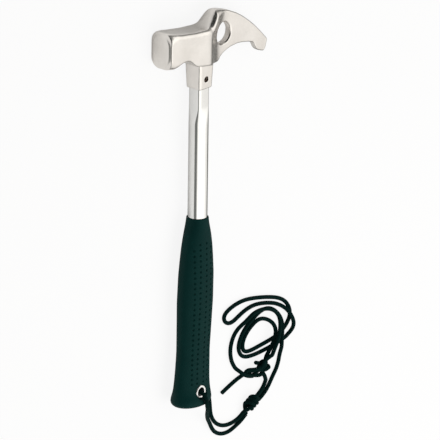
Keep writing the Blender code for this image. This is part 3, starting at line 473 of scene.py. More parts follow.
# %% Sections of the head
FACE_RIM, RIM_DEPTH, RIM_CURVE = 0.0027, 0.0012, 0.85
HEAD_CELL = 0.00036
SIDE_POINTS, SECTION_STEP = 24, 0.0004
CURVE_START, CURVE_SHARE = 0.016, 0.6  # where the cheek starts to swell to the crest, and for what share
FULLEST_ROUND = 0.48  # a corner's radius, as a share of the section, at most
SOFT_LOWER, SOFT_UPPER, SOFT_MIDDLE, SOFT_CREST, SOFT_RADIUS = 0.0006, 0.0008, 0.0019, 0.0014, 0.001
LOWER_EDGE_KEYS = np.array((
    (-42, 4.4), (-35.3, 4.7), (-30.2, 6.74), (-26.9, 8.0), (-23.5, 8.3), (-20.6, 7.8), (-17.6, 5.98),
    (-15.1, 3.5), (-12.6, 2.0), (-5, 0.5), (3.4, -0.7), (13.6, -2.1), (16, -1.6), (18.2, 0.7), (21, 2.24),
    (24.5, 3.6), (29.7, 5.19), (37.1, 5.9), (42, 5.55), (49.5, 4.19), (54.5, 2.65), (56, 1.06),
    (56.8, -1.36), (58.5, -3.47), (60.8, -4.9), (63.5, -5.85), (66.6, -6.8), (67.9, -5.1), (69.6, 0.59),
    (70, 1.18),
)) * MM
UPPER_EDGE_KEYS = np.array((
    (-42, 32.3), (-37.8, 31.6), (-34.9, 30.9), (-26.9, 29.4), (-12.6, 27.5), (-1.3, 26.7), (1.5, 27.0),
    (3.6, 27.97), (5.5, 29.67), (9.5, 34.4), (11.6, 36.45), (13.6, 37.3), (19, 36.0), (27.4, 33.4),
    (36.6, 29.2), (43, 25.36), (49.6, 20.7), (55.7, 15.85), (61, 11.1), (65.9, 6.23), (70, 2.09),
)) * MM
HALF_KEYS = np.array((
    (-42, 10.1), (0.7, 10.1), (1.5, 10.0), (3, 9.6), (4.5, 8.8), (6.5, 7.6), (8, 6.9), (11, 5.4), (14, 4.4),
    (17.5, 3.7), (21, 3.25), (25, 3.0), (31.5, 3.0), (66.5, 2.0), (70, 2.0),
)) * MM
CREST_HALF_KEYS = np.array((
    (-42, 10.1), (2, 10.1), (3.6, 10.05), (6.5, 9.7), (9.5, 9.0), (13.6, 6.8), (16, 5.6), (19, 4.4),
    (23, 3.3), (27, 3.0), (31.5, 3.0), (66.5, 2.0), (70, 2.0),
)) * MM
UPPER_RADIUS_KEYS = np.array((
    (-42, 9.2), (-40, 8.2), (-37, 5.5), (-32, 3.4), (-1, 3.4), (2, 4.6), (4.5, 7.2), (8, 8.6), (12, 8.2),
    (14.5, 6.0), (17, 3.8), (19, 2.6), (23, 1.4), (27, 1.2), (70, 1.2),
)) * MM
LOWER_RADIUS_KEYS = np.array((
    (-42, 9.2), (-40, 8.2), (-37, 5.0), (-32, 2.4), (-25, 1.5), (16, 1.2), (70, 1.2),
)) * MM


def head_sections():
    """Rings across the head from the striking face to the beak: boxes with rounded corners between the lower
    and upper edge, whose sides curve from the thickness at the middle to that at the crest with a smooth step
    in height. The striking face's rim is a shallow slope that draws the rings in."""
    rim = -POLL_REACH + RIM_DEPTH * np.linspace(0, 1, 9)
    past_rim = np.arange(-POLL_REACH + RIM_DEPTH, PICK_REACH - SECTION_STEP / 2, SECTION_STEP)
    x = np.unique(np.round(np.concatenate([rim, past_rim]), 7))
    low = HEAD_BASE + soft_line(LOWER_EDGE_KEYS, x, SOFT_LOWER)
    high = HEAD_BASE + soft_line(UPPER_EDGE_KEYS, x, SOFT_UPPER)
    middle, crest = soft_line(HALF_KEYS, x, SOFT_MIDDLE), soft_line(CREST_HALF_KEYS, x, SOFT_CREST)
    drawn_in = FACE_RIM * (1 - np.minimum(1, (x + POLL_REACH) / RIM_DEPTH)) ** RIM_CURVE
    low, high, middle, crest = low + drawn_in, high - drawn_in, middle - drawn_in, crest - drawn_in
    most = FULLEST_ROUND * np.minimum(high - low, 2 * crest)
    radii = [soft_line(keys, x, SOFT_RADIUS) for keys in (LOWER_RADIUS_KEYS, UPPER_RADIUS_KEYS)]
    outline = box_outline(low, high, crest, *np.minimum(radii, most))
    part = np.linspace(0, 1, SIDE_POINTS + 2)[1:-1, None]
    near, far = CORNER_POINTS, 3 * CORNER_POINTS
    sides = [outline[:, k - 1:k] + part * (outline[:, k:k + 1] - outline[:, k - 1:k]) for k in (near, far)]
    first, second, third = np.split(outline, (near, far), 1)
    outline = np.concatenate([first, sides[0], second, sides[1], third], 1)
    swell = smooth_step(outline[..., 0] - HEAD_BASE, CURVE_START, CURVE_SHARE * (high[:, None] - HEAD_BASE))
    outline[..., 1] *= (middle / crest)[:, None] * (1 - swell) + swell
    across = np.broadcast_to(x[:, None, None], (*outline.shape[:2], 1))
    return np.concatenate([across, outline], -1)


print("sections of the head:", len(head_sections()))

# %% Joining and cutting solids
def helper(name, rings):
    """A closed mesh that is only joined to a piece or cut from it."""
    return put(name, skin(name, lay_down(rings)))


def worked(mesh, *steps, cell=None, passes=0):
    """The mesh after each (operation, helper) in turn. If a cell size is given, it is then remade from cells
    and smoothed: in each pass a point goes halfway to the middle of its neighbours."""
    blank = put("blank", mesh)
    for operation, tool in steps:
        step = blank.modifiers.new(tool.name, "BOOLEAN")
        step.operation, step.object, step.solver = operation, tool, "EXACT"
    if cell:
        remade = blank.modifiers.new("cells", "REMESH")
        remade.mode, remade.voxel_size, remade.use_smooth_shade = "VOXEL", cell, True
        soft = blank.modifiers.new("soft", "SMOOTH")
        soft.factor, soft.iterations = 0.5, passes
    graph = bpy.context.evaluated_depsgraph_get()
    made = bpy.data.meshes.new_from_object(blank.evaluated_get(graph))
    for thing in (blank, *(tool for _, tool in steps)):
        bpy.data.objects.remove(thing)
    made.materials.clear()
    return made


def square_ring(half, corner, y, steps=CORNER_POINTS):
    """Rounded squares across the shaft at the heights y: box outlines laid into the x-z plane."""
    half, corner, y = np.broadcast_arrays(half, corner, y)
    outline = box_outline(-half, half, half, corner, corner, steps)
    return np.stack([outline[..., 0], y[:, None] + 0 * outline[..., 0], -outline[..., 1]], -1)


# %% Head
CUT_REACH, OVERCUT, COLLAR_ROOT = 0.02, 0.002, 0.008  # how far helpers reach out of the head, or into it
SQUARE_HALF, SQUARE_CORNER, SOCKET_DEPTH = 0.00565, 0.0026, 0.0105
COLLAR_WALL, COLLAR_FLARE, COLLAR_CORNER, COLLAR_CHAMFER = 0.0009, 0.0007, 0.002, 0.0007
COLLAR_HALF = SQUARE_HALF + GAP + COLLAR_WALL
PIN_RADIUS, PIN_BORE, PIN_SLOT, PIN_SINK, PIN_ROUND = 0.00175, 0.0011, 0.0007, 0.0009, 0.00025
PIN_PLACE = (0, COLLAR_BASE + 0.0073)
HOLE_RADIUS, HOLE_CHAMFER = 0.0078, 0.0009
HOLE_PLACE = (0.0216, HEAD_BASE + 0.0177)


def pin_hole():
    """The helper that cuts the pin's hole through the collar and the tube."""
    radius = PIN_RADIUS + GAP
    return helper("pin_hole", turned(((radius, -CUT_REACH), (radius, CUT_REACH)), PIN_PLACE, 48))


def make_head():
    """The lofted head with its collar, cut with the socket, the pin's hole and the chamfered round hole."""
    flared = COLLAR_HALF + COLLAR_FLARE
    collar = square_ring(
        (COLLAR_HALF - COLLAR_CHAMFER, COLLAR_HALF, flared, flared),
        (COLLAR_CORNER - COLLAR_CHAMFER, COLLAR_CORNER, COLLAR_CORNER, COLLAR_CORNER),
        (COLLAR_BASE, COLLAR_BASE + COLLAR_CHAMFER, HEAD_BASE, HEAD_BASE + COLLAR_ROOT),
    )
    socket = square_ring(SQUARE_HALF + GAP, SQUARE_CORNER, (COLLAR_BASE - OVERCUT, HEAD_BASE + SOCKET_DEPTH))
    wide, slope = HOLE_RADIUS + HOLE_CHAMFER, PICK_HALF - HOLE_CHAMFER
    half_hole = ((wide, POLL_HALF + OVERCUT), (wide, PICK_HALF), (HOLE_RADIUS, slope))
    hole = (*half_hole, *((radius, -z) for radius, z in half_hole[::-1]))
    return worked(
        skin("head", lay_down(head_sections())),
        ("UNION", helper("collar", collar)),
        ("DIFFERENCE", helper("socket", socket)),
        ("DIFFERENCE", pin_hole()),
        ("DIFFERENCE", helper("carabiner_hole", turned(hole, HOLE_PLACE, 96))),
        cell=HEAD_CELL, passes=4,
    )


head_mesh = make_head()
show("head_forging", head_mesh, FORGED, "forged_steel", "head")
print(f"head: {2 * len(head_mesh.polygons)} triangles")

# %% [markdown]
# ## Tube, pin and plug
#
# The shaft is a round steel tube whose upper end is pressed square to fill the socket, so that the head can't
# turn on it. A slotted spring pin goes through both. The plug closes the tube's lower end inside the grip.
# The tube is a set of rings again, outside and inside, where the round outline turns into a rounded square:
# a square whose corner radius is its whole half width is a circle.

# %% Tube
TUBE_RADIUS, TUBE_WALL = 0.0072, 0.0015
SQUARE_LENGTH, PRESS_LENGTH = 0.0417, 0.014
PRESSED_HALF, PRESSED_CORNER, LEAST_CORNER = 0.0056, 0.0022, 0.0003
END_RUBBER, PLUG_FLANGE = 0.0206, 0.0015
TUBE_TOP = HEAD_BASE + SOCKET_DEPTH - GAP
TUBE_BASE = END_RUBBER + 2 * GAP + PLUG_FLANGE
PRESS_TOP = TUBE_TOP - SQUARE_LENGTH
PRESS_BASE = PRESS_TOP - PRESS_LENGTH


def tube_rings(y, inset):
    """Round rings that turn square over the pressed length: a smooth step mixes half width and corner."""
    t = smooth_step(y, PRESS_BASE, PRESS_LENGTH)
    half = TUBE_RADIUS + t * (PRESSED_HALF - TUBE_RADIUS) - inset
    corner = np.maximum(TUBE_RADIUS + t * (PRESSED_CORNER - TUBE_RADIUS) - inset, LEAST_CORNER)
    return square_ring(half, corner, y, 24)


heights = np.concatenate([np.linspace(TUBE_BASE, PRESS_BASE, 40), np.linspace(PRESS_BASE, PRESS_TOP, 40)[1:],
                          np.linspace(PRESS_TOP, TUBE_TOP, 12)[1:]])
tube = np.concatenate([tube_rings(heights, 0), tube_rings(heights[::-1], TUBE_WALL)])
tube_mesh = worked(skin("tube", lay_down(tube), joined=True), ("DIFFERENCE", pin_hole()))
show("steel_tube", tube_mesh, POLISHED, "polished_steel", "shaft_tube", crease=40)
print(f"tube: {1000 * (TUBE_TOP - TUBE_BASE):.0f} mm long")

# %% Spring pin and plug
PIN_HALF_LENGTH = COLLAR_HALF - PIN_SINK


def pin_rings():
    """A sleeve that is open along one side: rings stand across the wall, round corners and all, and turn from
    one lip of the slot to the other."""
    lip = math.asin(PIN_SLOT / 2 / PIN_RADIUS)
    turn = np.linspace(lip, 2 * math.pi - lip, 60)[:, None] + math.pi / 2
    wall = box_outline(PIN_BORE, PIN_RADIUS, PIN_HALF_LENGTH, PIN_ROUND, PIN_ROUND, 4)
    radius, z = wall[None, :, 0], wall[None, :, 1] + 0 * turn
    return np.stack([radius * np.cos(turn) + PIN_PLACE[0], radius * np.sin(turn) + PIN_PLACE[1], z], -1)


show("spring_pin", skin("pin", lay_down(pin_rings())), PIN_STEEL, "pin_steel", "head_pin", crease=40)
plug = nodes["shaft_end_plug"]
plug.data.materials.clear()
plug.data.materials.append(PLASTIC)
print(f"pin: {2000 * PIN_HALF_LENGTH:.1f} mm long; the plug keeps its solid, in {PLASTIC.name}")

# %% [markdown]
# ## The grip
#
# The grip is one rubber moulding: slim at its rim, swelling in the hand, pinched above a flared butt, and
# set back toward the striking face at its end. Each of its two broad sides carries a patch of small pits,
# four columns wide. Pits could be painted as a bump, but then the outline would stay smooth. So the rings lie
# closely over the patch, three tenths of a millimetre apart, and each pit is pressed into them.

# %% The grip's outline
GRIP_WIDTH_KEYS = np.array((
    (0, 17.4), (4.5, 17.4), (7.83, 16.8), (10.8, 17.0), (19.6, 16.15), (41.3, 14.9), (78.7, 16.0),
    (98.5, 15.5), (110.3, 14.4), (120.1, 13.2), (128.1, 11.68), (133.8, 10.16), (138.0, 8.64), (142.3, 8.0),
)) * MM
GRIP_DEPTH_KEYS = np.array((
    (0, 12.3), (4.5, 12.3), (5.83, 12.2), (7.83, 11.36), (10.8, 10.03), (13.8, 9.22), (19.9, 8.9),
    (29.9, 8.8), (41.3, 9.0), (78.3, 9.9), (99.6, 9.9), (120.1, 9.24), (133.8, 8.38), (142.3, 8.0),
)) * MM
SET_BACK_KEYS = np.array((
    (0, 4.8), (14.2, 4.32), (29.9, 3.46), (59.1, 2.3), (98.2, 0.96), (128.1, 0.19), (142.3, 0),
)) * MM
BUTT_DRAW, RIM_DRAW, RIM_ROUND = 0.36, 0.00025, 0.0011  # how far the ends are drawn in: a share, and metres
SOFT_WIDTH, SOFT_DEPTH, SOFT_SET_BACK = 0.0022, 0.001, 0.003


def grip_outline(y):
    """Half width, half depth and set-back at each height y. At the butt's end and at the rim both halves are
    drawn in along a quarter circle, one minus the root of one minus the square."""
    width, depth = soft_line(GRIP_WIDTH_KEYS, y, SOFT_WIDTH), soft_line(GRIP_DEPTH_KEYS, y, SOFT_DEPTH)
    set_back = soft_line(SET_BACK_KEYS, y, SOFT_SET_BACK)
    under = np.clip(1 - y / BUTT_ROUND, 0, 1)
    over = np.clip((y - GRIP_LENGTH + RIM_ROUND) / RIM_ROUND, 0, 1)
    at_butt = 1 - BUTT_DRAW * (1 - np.sqrt(1 - under**2))
    at_rim = RIM_DRAW * (1 - np.sqrt(1 - over**2))
    return width * at_butt - at_rim, depth * at_butt - at_rim, set_back


def grip_angles():
    """Angles round the oval: about one degree apart over the two patches, and wider over the narrow sides."""
    spans = ((54, 146, 80), (146, 214, 18), (306, 414, 30))
    patch, heel, belly = (np.linspace(low, high, count, endpoint=False) for low, high, count in spans)
    return np.radians(np.concatenate([patch, heel, patch + 160, belly]))


print(f"outline of the grip: {len(grip_angles())} points in each ring")

# %% Pits
PIT_RADIUS, PIT_DEPTH = 0.00085, 0.0009
PIT_ROWS = np.arange(28)
PIT_HEIGHTS = (123.98 - 4.135 * PIT_ROWS + 0.0085 * PIT_ROWS**2) * MM
# Each column's parabola over the height in mm: square, slope and start, and the rows that it leaves out above
PIT_COLUMNS = ((-7e-5, 0.03305, -12.90, 1), (-6e-5, 0.03026, -8.32, 0),
               (1e-5, 0.01389, -1.61, 0), (-1e-4, 0.03339, 2.73, 1))


def pit_places():
    """(x, y) of every pit: each column is a shallow parabola over the height, and the outer two start a row
    lower."""
    places = []
    for square, slope, start, skipped in PIT_COLUMNS:
        s = PIT_HEIGHTS[skipped:] / MM
        places.append(np.stack([(square * s**2 + slope * s + start) * MM, PIT_HEIGHTS[skipped:]], -1))
    return np.concatenate(places)


def pit_depths(rings):
    """How far each point lies inside a pit, 0 to 1: a rounded bowl, the root of one minus the square of the
    distance to the nearest pit in x and y over the pit's radius."""
    flat = rings[..., :2].reshape(-1, 2)
    apart = np.full(len(flat), 1.0)
    for spot in pit_places():
        apart = np.minimum(apart, np.hypot(*(flat - spot).T))
    bowl = np.clip(1 - (apart / PIT_RADIUS) ** 2, 0, 1)
    return np.sqrt(bowl).reshape(rings.shape[:2])


print(f"pits: {len(pit_places())} a side")

# %% The moulding
PATCH_LOW, PATCH_HIGH, PATCH_STEP = 0.0107, 0.1257, 0.0003
BORE_CHAMFER = 0.0004


def make_grip():
    """Rings of ovals from the butt's end to the rim, with the pits pressed in, and then the bore's rings back
    down: half width times cos and half depth times sin of the angle, moved by the set-back."""
    quarter = np.linspace(0, math.pi / 2, 6)[1:]
    heights = np.concatenate([
        BUTT_ROUND * (1 - np.cos(np.linspace(0, math.pi / 2, 12))),
        np.linspace(BUTT_ROUND, PATCH_LOW - 0.0002, 12)[1:],
        np.arange(PATCH_LOW, PATCH_HIGH, PATCH_STEP),
        np.linspace(PATCH_HIGH + 0.0005, GRIP_LENGTH - RIM_ROUND, 20),
        GRIP_LENGTH - RIM_ROUND * (1 - np.sin(quarter)),
    ])
    angle = grip_angles()[None]

    def ovals(width, depth, y, set_back=0.0):
        """One oval at each y: width times cos of the angle less the set-back in x, depth times sin in z."""
        return np.stack([width * np.cos(angle) - set_back, y + 0 * angle, depth * np.sin(angle)], -1)

    width, depth, set_back = (value[:, None] for value in grip_outline(heights))
    rings = ovals(width, depth, heights[:, None], set_back)
    rings[..., 2] -= np.sign(rings[..., 2]) * PIT_DEPTH * pit_depths(rings)
    bore = TUBE_RADIUS + GAP
    down = np.array((GRIP_LENGTH, END_RUBBER + BORE_CHAMFER, END_RUBBER))[:, None]
    radius = np.array((bore, bore, bore - BORE_CHAMFER))[:, None]
    return skin("grip", lay_down(np.concatenate([rings, ovals(radius, radius, down)])))


# %% The grip with the eyelet's seats
EYELET_PLACE = (-0.004, 0.0112)
EYELET_BORE, EYELET_RADIUS, EYELET_BARREL, FLANGE_THICKNESS = 0.003, 0.005, 0.0036, 0.0012
NEAR_SEAT, FAR_SEAT, WASHER_THICKNESS, LIP_THICKNESS = 0.0082, 0.0072, 0.0006, 0.0004
SEAT_MOUTH = ((0.0012, 0.0118), (0.0004, 0.0014), (0, 0.0006))  # how much wider, how high over the seat

seat, passage = EYELET_RADIUS + GAP, EYELET_BARREL + GAP
cutter = (*((seat + wider, NEAR_SEAT + over) for wider, over in SEAT_MOUTH), (seat, NEAR_SEAT),
          (passage, NEAR_SEAT), (passage, -FAR_SEAT), (seat, -FAR_SEAT), (seat, -CUT_REACH))
grip_mesh = worked(make_grip(), ("DIFFERENCE", helper("seats", turned(cutter, EYELET_PLACE, 64))))
show("rubber_grip", grip_mesh, RUBBER, "grip_rubber", "grip", crease=55)
print(f"grip: {len(grip_mesh.vertices)} points")

# %% [markdown]
# ## Eyelet and washer
#
# The eyelet is a turned piece, pressed from thin metal: a domed flange in its seat, a barrel through the
# butt, and a lip rolled over a washer on the other side. A closed profile of (radius, height) points, turned
# round the eyelet's axis, gives all of it.

# %% Eyelet and washer
DOME_EDGE, LIP_ROUND, LIP_EDGE, WASHER_EDGE = 0.0002, 0.0003, 0.0001, 0.00015
LIP_SHARE = 0.3  # how far the rolled lip reaches from the barrel toward the eyelet's rim


def eyelet_profile():
    """A half round dome over the flange, the barrel, and the rolled lip at its other end."""
    under = NEAR_SEAT + GAP
    lip_in = FAR_SEAT + 2 * GAP + WASHER_THICKNESS
    lip_out = lip_in + LIP_THICKNESS
    lip_radius = EYELET_BARREL + LIP_SHARE * (EYELET_RADIUS - EYELET_BARREL)
    middle, spread = (EYELET_RADIUS + EYELET_BORE) / 2, (EYELET_RADIUS - EYELET_BORE) / 2
    turn = np.linspace(0, math.pi, 18)
    rise = DOME_EDGE + (FLANGE_THICKNESS - DOME_EDGE) * np.sin(turn)
    dome = np.stack([middle - spread * np.cos(turn), under + rise], -1)
    barrel = ((EYELET_RADIUS, under), (EYELET_BARREL, under), (EYELET_BARREL, -lip_in), (lip_radius, -lip_in),
              (lip_radius, LIP_EDGE - lip_out), (lip_radius - LIP_EDGE, -lip_out))
    roll = np.linspace(math.pi / 2, 0, 6)
    lip_x, lip_z = LIP_ROUND * (1 - np.sin(roll)), LIP_ROUND * (1 - np.cos(roll))
    lip_end = np.stack([EYELET_BORE + lip_x, lip_z - lip_out], -1)
    return (*dome, *barrel, *lip_end)


def washer_profile():
    """A flat ring on the far seat with its outer edges cut off."""
    inside, outside, edge = EYELET_BARREL + GAP, EYELET_RADIUS, WASHER_EDGE
    top, base = -FAR_SEAT - GAP, -FAR_SEAT - GAP - WASHER_THICKNESS
    return ((inside, top), (outside - edge, top), (outside, top - edge),
            (outside, base + edge), (outside - edge, base), (inside, base))


eyelet_mesh = skin("eyelet", lay_down(turned(eyelet_profile(), EYELET_PLACE)), joined=True)
show("eyelet_ring", eyelet_mesh, PLATED, "eyelet_metal", "eyelet", crease=40)
washer_mesh = skin("washer", lay_down(turned(washer_profile(), EYELET_PLACE)), joined=True)
show("back_washer", washer_mesh, PLATED, "eyelet_metal", "eyelet_washer", crease=40)
print(f"eyelet: {len(eyelet_mesh.vertices)} points, washer: {len(washer_mesh.vertices)}")

# %% [markdown]
# ## The hand cord
#
# The cord is one length of 3 mm braid. It goes through the eyelet, both legs meet in a first knot, and its
# slack lies in loose loops that a second knot gathers. A cord keeps its length and thickness, so it is best
# given as the line that it follows: a few points in the order in which the cord runs, on the table where
# nothing is under it and one thickness higher where it crosses itself. A natural cubic spline through the
# points bends as evenly as a springy rod would, and a ring of the braid is swept along it.

# %% The cord's route, in millimetres: (x, y) where it lies on the table, (x, y, z) where it is raised
CORD_DIAMETER, LYING = 0.003, 1.6
NEAR_LEG = (
    (-18.6, -136.4, 12.5), (-18.6, -136.4, 17.8), (-18.6, -136.7, 21.6), (-18.5, -138.6, 24.9),
    (-18.3, -142.1, 26.6), (-17.0, -146.2, 26.2), (-13.7, -150.6, 23.8), (-8.6, -155.6, 19.0),
    (-2.1, -161.6, 13.0), (4.6, -168.1, 7.6), (11.4, -174.9, 3.6), (17.7, -182.6, 1.7), (25.1, -187.1),
    (34.0, -187.9), (40.9, -185.9), (47.1, -183.2), (51.9, -179.0, 2.4),
)
FAR_LEG = (
    (-18.6, -136.4, 12.1), (-18.8, -136.4, 6.6), (-18.6, -136.3, 4.2), (-17.4, -135.9, 2.4),
    (-14.8, -135.0), (-9.6, -133.4), (-3.1, -134.1), (3.9, -138.9), (9.4, -146.7), (13.0, -160.0),
    (14.8, -170.0), (20.9, -178.0), (30.0, -181.9), (38.4, -182.0), (45.1, -180.2), (49.0, -176.9, 2.4),
)
SHORT_RUN = (
    (62.6, -168.4, 2.4), (68.2, -165.9), (72.0, -161.9), (73.1, -158.1, 2.2),
)
MAIN_LOOPS = (
    (65.5, -171.5, 2.4), (72.0, -168.6), (76.5, -164.3), (81.3, -157.7), (86.0, -150.8),
    (88.1, -142.2, 2.0), (86.5, -134.8, 5.1), (86.5, -129.1, 5.3), (86.8, -123.7, 5.3), (87.1, -118.4, 4.8),
    (87.9, -114.2, 2.6), (84.7, -108.9), (76.8, -103.4), (67.9, -102.5), (58.0, -106.6), (49.8, -112.2),
    (44.8, -119.0), (43.3, -125.9), (46.8, -132.1), (54.9, -134.8), (67.3, -134.7), (78.8, -133.5),
    (89.3, -131.7), (97.7, -128.7), (100.2, -123.1, 3.9), (97.2, -115.2, 5.6), (91.8, -107.3, 4.4),
    (83.8, -101.7, 1.8), (70.5, -97.5), (57.2, -96.2), (45.6, -98.9), (37.7, -102.2), (31.9, -102.8),
    (27.4, -99.8), (27.1, -95.9), (32.2, -92.2), (44.9, -89.5), (59.0, -90.6), (74.9, -94.1), (88.1, -98.9),
    (96.2, -105.8), (98.7, -113.7), (95.5, -120.0), (88.2, -125.3), (77.2, -128.2), (65.0, -129.8),
    (54.3, -130.6), (48.8, -128.6), (47.6, -123.1), (51.3, -116.2), (58.1, -111.0), (65.4, -108.8),
    (73.1, -110.9, 2.4), (77.6, -115.2, 4.6), (79.5, -121.4, 5.2), (78.2, -127.0, 5.2), (74.4, -132.0, 5.5),
    (70.4, -137.6, 4.9),
)
OUTER_LOOP = (
    (56.8, -150.3, 3.6), (50.4, -148.1, 5.0), (45.2, -145.3, 5.3), (42.5, -142.7, 3.6), (40.0, -139.9),
    (35.6, -132.4), (34.4, -123.8), (36.8, -115.8), (41.1, -109.3, 2.8), (46.5, -104.6, 5.0),
    (54.7, -100.7, 5.2), (64.2, -99.9, 5.2), (74.1, -102.4, 5.4), (81.0, -108.6, 6.2), (81.2, -114.4, 8.0),
    (80.1, -120.1, 8.7), (78.1, -126.1, 9.0), (75.0, -131.2, 9.1), (72.8, -136.9, 8.4),
)
TAIL = (
    (56.2, -145.9, 3.8), (54.1, -146.6, 1.8), (50.0, -147.4), (43.8, -148.8), (35.2, -151.7), (26.0, -155.5),
)
print("points on each stretch:", *map(len, (NEAR_LEG, FAR_LEG, SHORT_RUN, MAIN_LOOPS, OUTER_LOOP, TAIL)))

# %% [markdown]
# Each ring of a swept tube needs two directions square to the line. Carried from one point to the next with
# no twist (each is the last one, turned just as the line turns), they keep the braid from winding up.
# The yarns stand out of the tube by a few hundredths of a millimetre, in the same cells that the finish uses.

# %% Lines and tubes
CORD_FACES, CORD_STEP = 32, 0.00028
YARN_RELIEF, YARN_LEVEL = 0.00007, 0.6  # how far yarns stand out, and the share of it inside the radius
ON_TABLE = CORD_DIAMETER / 2 + 0.00005
ANY_WAY = (0.31, 0.2, 0.93)  # any direction does that no stretch starts along


def smooth_line(points, per_span=40):
    """Natural cubic spline through the points. Each span's parameter is the root of its length, so that
    the line doesn't swing out beside short spans, and the second derivatives solve one linear system."""
    route = np.array(points, float)
    span = np.sqrt(np.linalg.norm(np.diff(route, axis=0), axis=1))
    count = len(route)
    system, right = np.eye(count), np.zeros((count, 3))
    inner = np.arange(1, count - 1)
    system[inner, inner - 1], system[inner, inner] = span[:-1], 2 * (span[:-1] + span[1:])
    system[inner, inner + 1] = span[1:]
    slope = np.diff(route, axis=0) / span[:, None]
    right[1:-1] = 6 * np.diff(slope, axis=0)
    bend = np.linalg.solve(system, right)
    t = np.linspace(0, 1, per_span, endpoint=False)[None, :, None]
    squared = span[:, None, None] ** 2 / 6
    straight = (1 - t) * route[:-1, None] + t * route[1:, None]
    curved = ((1 - t) ** 3 - (1 - t)) * bend[:-1, None] * squared + (t**3 - t) * bend[1:, None] * squared
    return np.concatenate([(straight + curved).reshape(-1, 3), route[-1:]])


def even_line(line):
    """The same line with its points evenly spaced, a cord step apart, and their length along it."""
    length = np.concatenate([[0], np.cumsum(np.linalg.norm(np.diff(line, axis=0), axis=1))])
    run = np.linspace(0, length[-1], max(4, round(length[-1] / CORD_STEP) + 1))
    return np.stack([np.interp(run, length, axis) for axis in line.T], -1), run


def untwisted_sides(line):
    """Two directions square to the line at each point: each pair is the last one turned as the line turns."""
    heading = np.gradient(line, axis=0)
    heading /= np.linalg.norm(heading, axis=1, keepdims=True)
    side = np.cross(heading[0], ANY_WAY)
    sides = []
    for way in heading:
        side = side - way * (side @ way)
        side = side / np.linalg.norm(side)
        sides.append(side)
    sides = np.array(sides)
    return sides, np.cross(heading, sides)


def cord_rings(line, run):
    """Rings of the braid: radius times (cos, sin) on the two sides, with the weave's height in the radius:
    |sin(pi a)| or |sin(pi b)|, by turns, with a and b = yarns * turn +- length / cell."""
    sides, others = untwisted_sides(line)
    turn = np.arange(CORD_FACES) / CORD_FACES
    a, b = (BRAID_YARNS * turn + way * run[:, None] / BRAID_CELL for way in (1, -1))
    on_top = (np.floor(a) + np.floor(b)) % 2
    weave = np.where(on_top > 0.5, abs(np.sin(math.pi * b)), abs(np.sin(math.pi * a)))
    radius = CORD_DIAMETER / 2 + YARN_RELIEF * (weave - YARN_LEVEL)
    cos, sin = (wave(2 * math.pi * turn)[None, :, None] for wave in (np.cos, np.sin))
    return line[:, None] + radius[..., None] * (cos * sides[:, None] + sin * others[:, None])


def swept(name, points):
    """The braid swept along the smooth line through points in millimetres, no lower than the table allows:
    its mesh, its line and the length along it."""
    smooth = smooth_line(np.array([(*point, LYING)[:3] for point in points]) * MM)
    smooth[:, 2] = np.maximum(smooth[:, 2], ON_TABLE)
    line, run = even_line(smooth)
    return skin(name, cord_rings(line, run), lengths=run), line, run


def add_stretch(name, points, replaced):
    """A free stretch of the cord: its tube, and what it says of itself."""
    mesh, line, run = swept(name, points)
    piece = show(name, mesh, BRAID, "cord_braid", replaced)
    print(f"{name}: {1000 * run[-1]:.0f} mm long, {len(mesh.polygons)} faces")
    return piece


# %% [markdown]
# ## Knots
#
# A knot is cord too, so it is made of cord: strands that wind round each other and lead into the free
# stretches at the very points where those end. The second knot also has a bight, a loop of the cord that
# lies over it, and the short end of a strand that is tucked in.

# %% Strands of a knot
KNOT_RADIUS, TURN_POINTS = 3.1, 8
LOWER_KNOT = ((54.8, -170.4, 4.85), 30)  # the middle in mm, and the axis's heading on the table in degrees
UPPER_KNOT = ((67.4, -145.6, 4.95), -57)
BIGHT = (
    (66.5, -149.5, 6.2), (62.0, -150.5, 5.4), (56.5, -149.5, 3.6), (51.5, -147.9, 3.4),
    (49.6, -146.0, 3.3), (52.0, -144.6, 3.6), (57.0, -144.8, 5.6), (62.5, -144.0, 6.8), (67.5, -142.5, 7.4),
)
STUB_END = (59.0, -140.2, 4.6)


def winding(knot, start, end, turns, phase):
    """Points of a helix round a knot's axis, in millimetres: from start to end along it, and the knot's
    radius times (cos, sin) of 2 pi times the turns so far, counted from the phase."""
    middle, heading = knot
    way = np.array((math.cos(math.radians(heading)), math.sin(math.radians(heading)), 0))
    flat, up = np.array((-way[1], way[0], 0)), np.array((0, 0, 1))
    t = np.linspace(0, 1, max(3, round(TURN_POINTS * turns)))[:, None]
    angle = 2 * math.pi * (turns * t + phase)
    along = middle + way * (start + (end - start) * t)
    return along + KNOT_RADIUS * (flat * np.cos(angle) + up * np.sin(angle))


def add_knot(name, strands, replaced):
    """A knot as one mesh of several closed tubes, each the sweep of the braid along one strand."""
    whole = bmesh.new()
    for strand in strands:
        part = swept(name, strand)[0]
        whole.from_mesh(part)
        bpy.data.meshes.remove(part)
    mesh = bpy.data.meshes.new(name)
    whole.to_mesh(mesh)
    whole.free()
    mesh.shade_smooth()
    print(f"{name}: {len(strands)} strands, {len(mesh.polygons)} faces")
    return show(name, mesh, BRAID, "cord_braid", replaced)


lower_knot = add_knot("braid_first_knot", [
    (NEAR_LEG[-1], *winding(LOWER_KNOT, -4.0, 4.0, 1.3, 0.75), MAIN_LOOPS[0]),
    (FAR_LEG[-1], *winding(LOWER_KNOT, -4.0, 4.0, 1.3, 0.25), SHORT_RUN[0]),
], "cord_lower_knot")
upper_knot = add_knot("braid_second_knot", [
    (SHORT_RUN[-1], *winding(UPPER_KNOT, 4.5, -4.5, 1.8, 0.5), OUTER_LOOP[0]),
    (MAIN_LOOPS[-1], *winding(UPPER_KNOT, -4.5, 2.5, 1.0, 0.1), TAIL[0]),
    (OUTER_LOOP[-1], *winding(UPPER_KNOT, -6.0, 0.0, 0.6, 0.2), STUB_END),
    BIGHT,
], "cord_upper_knot")

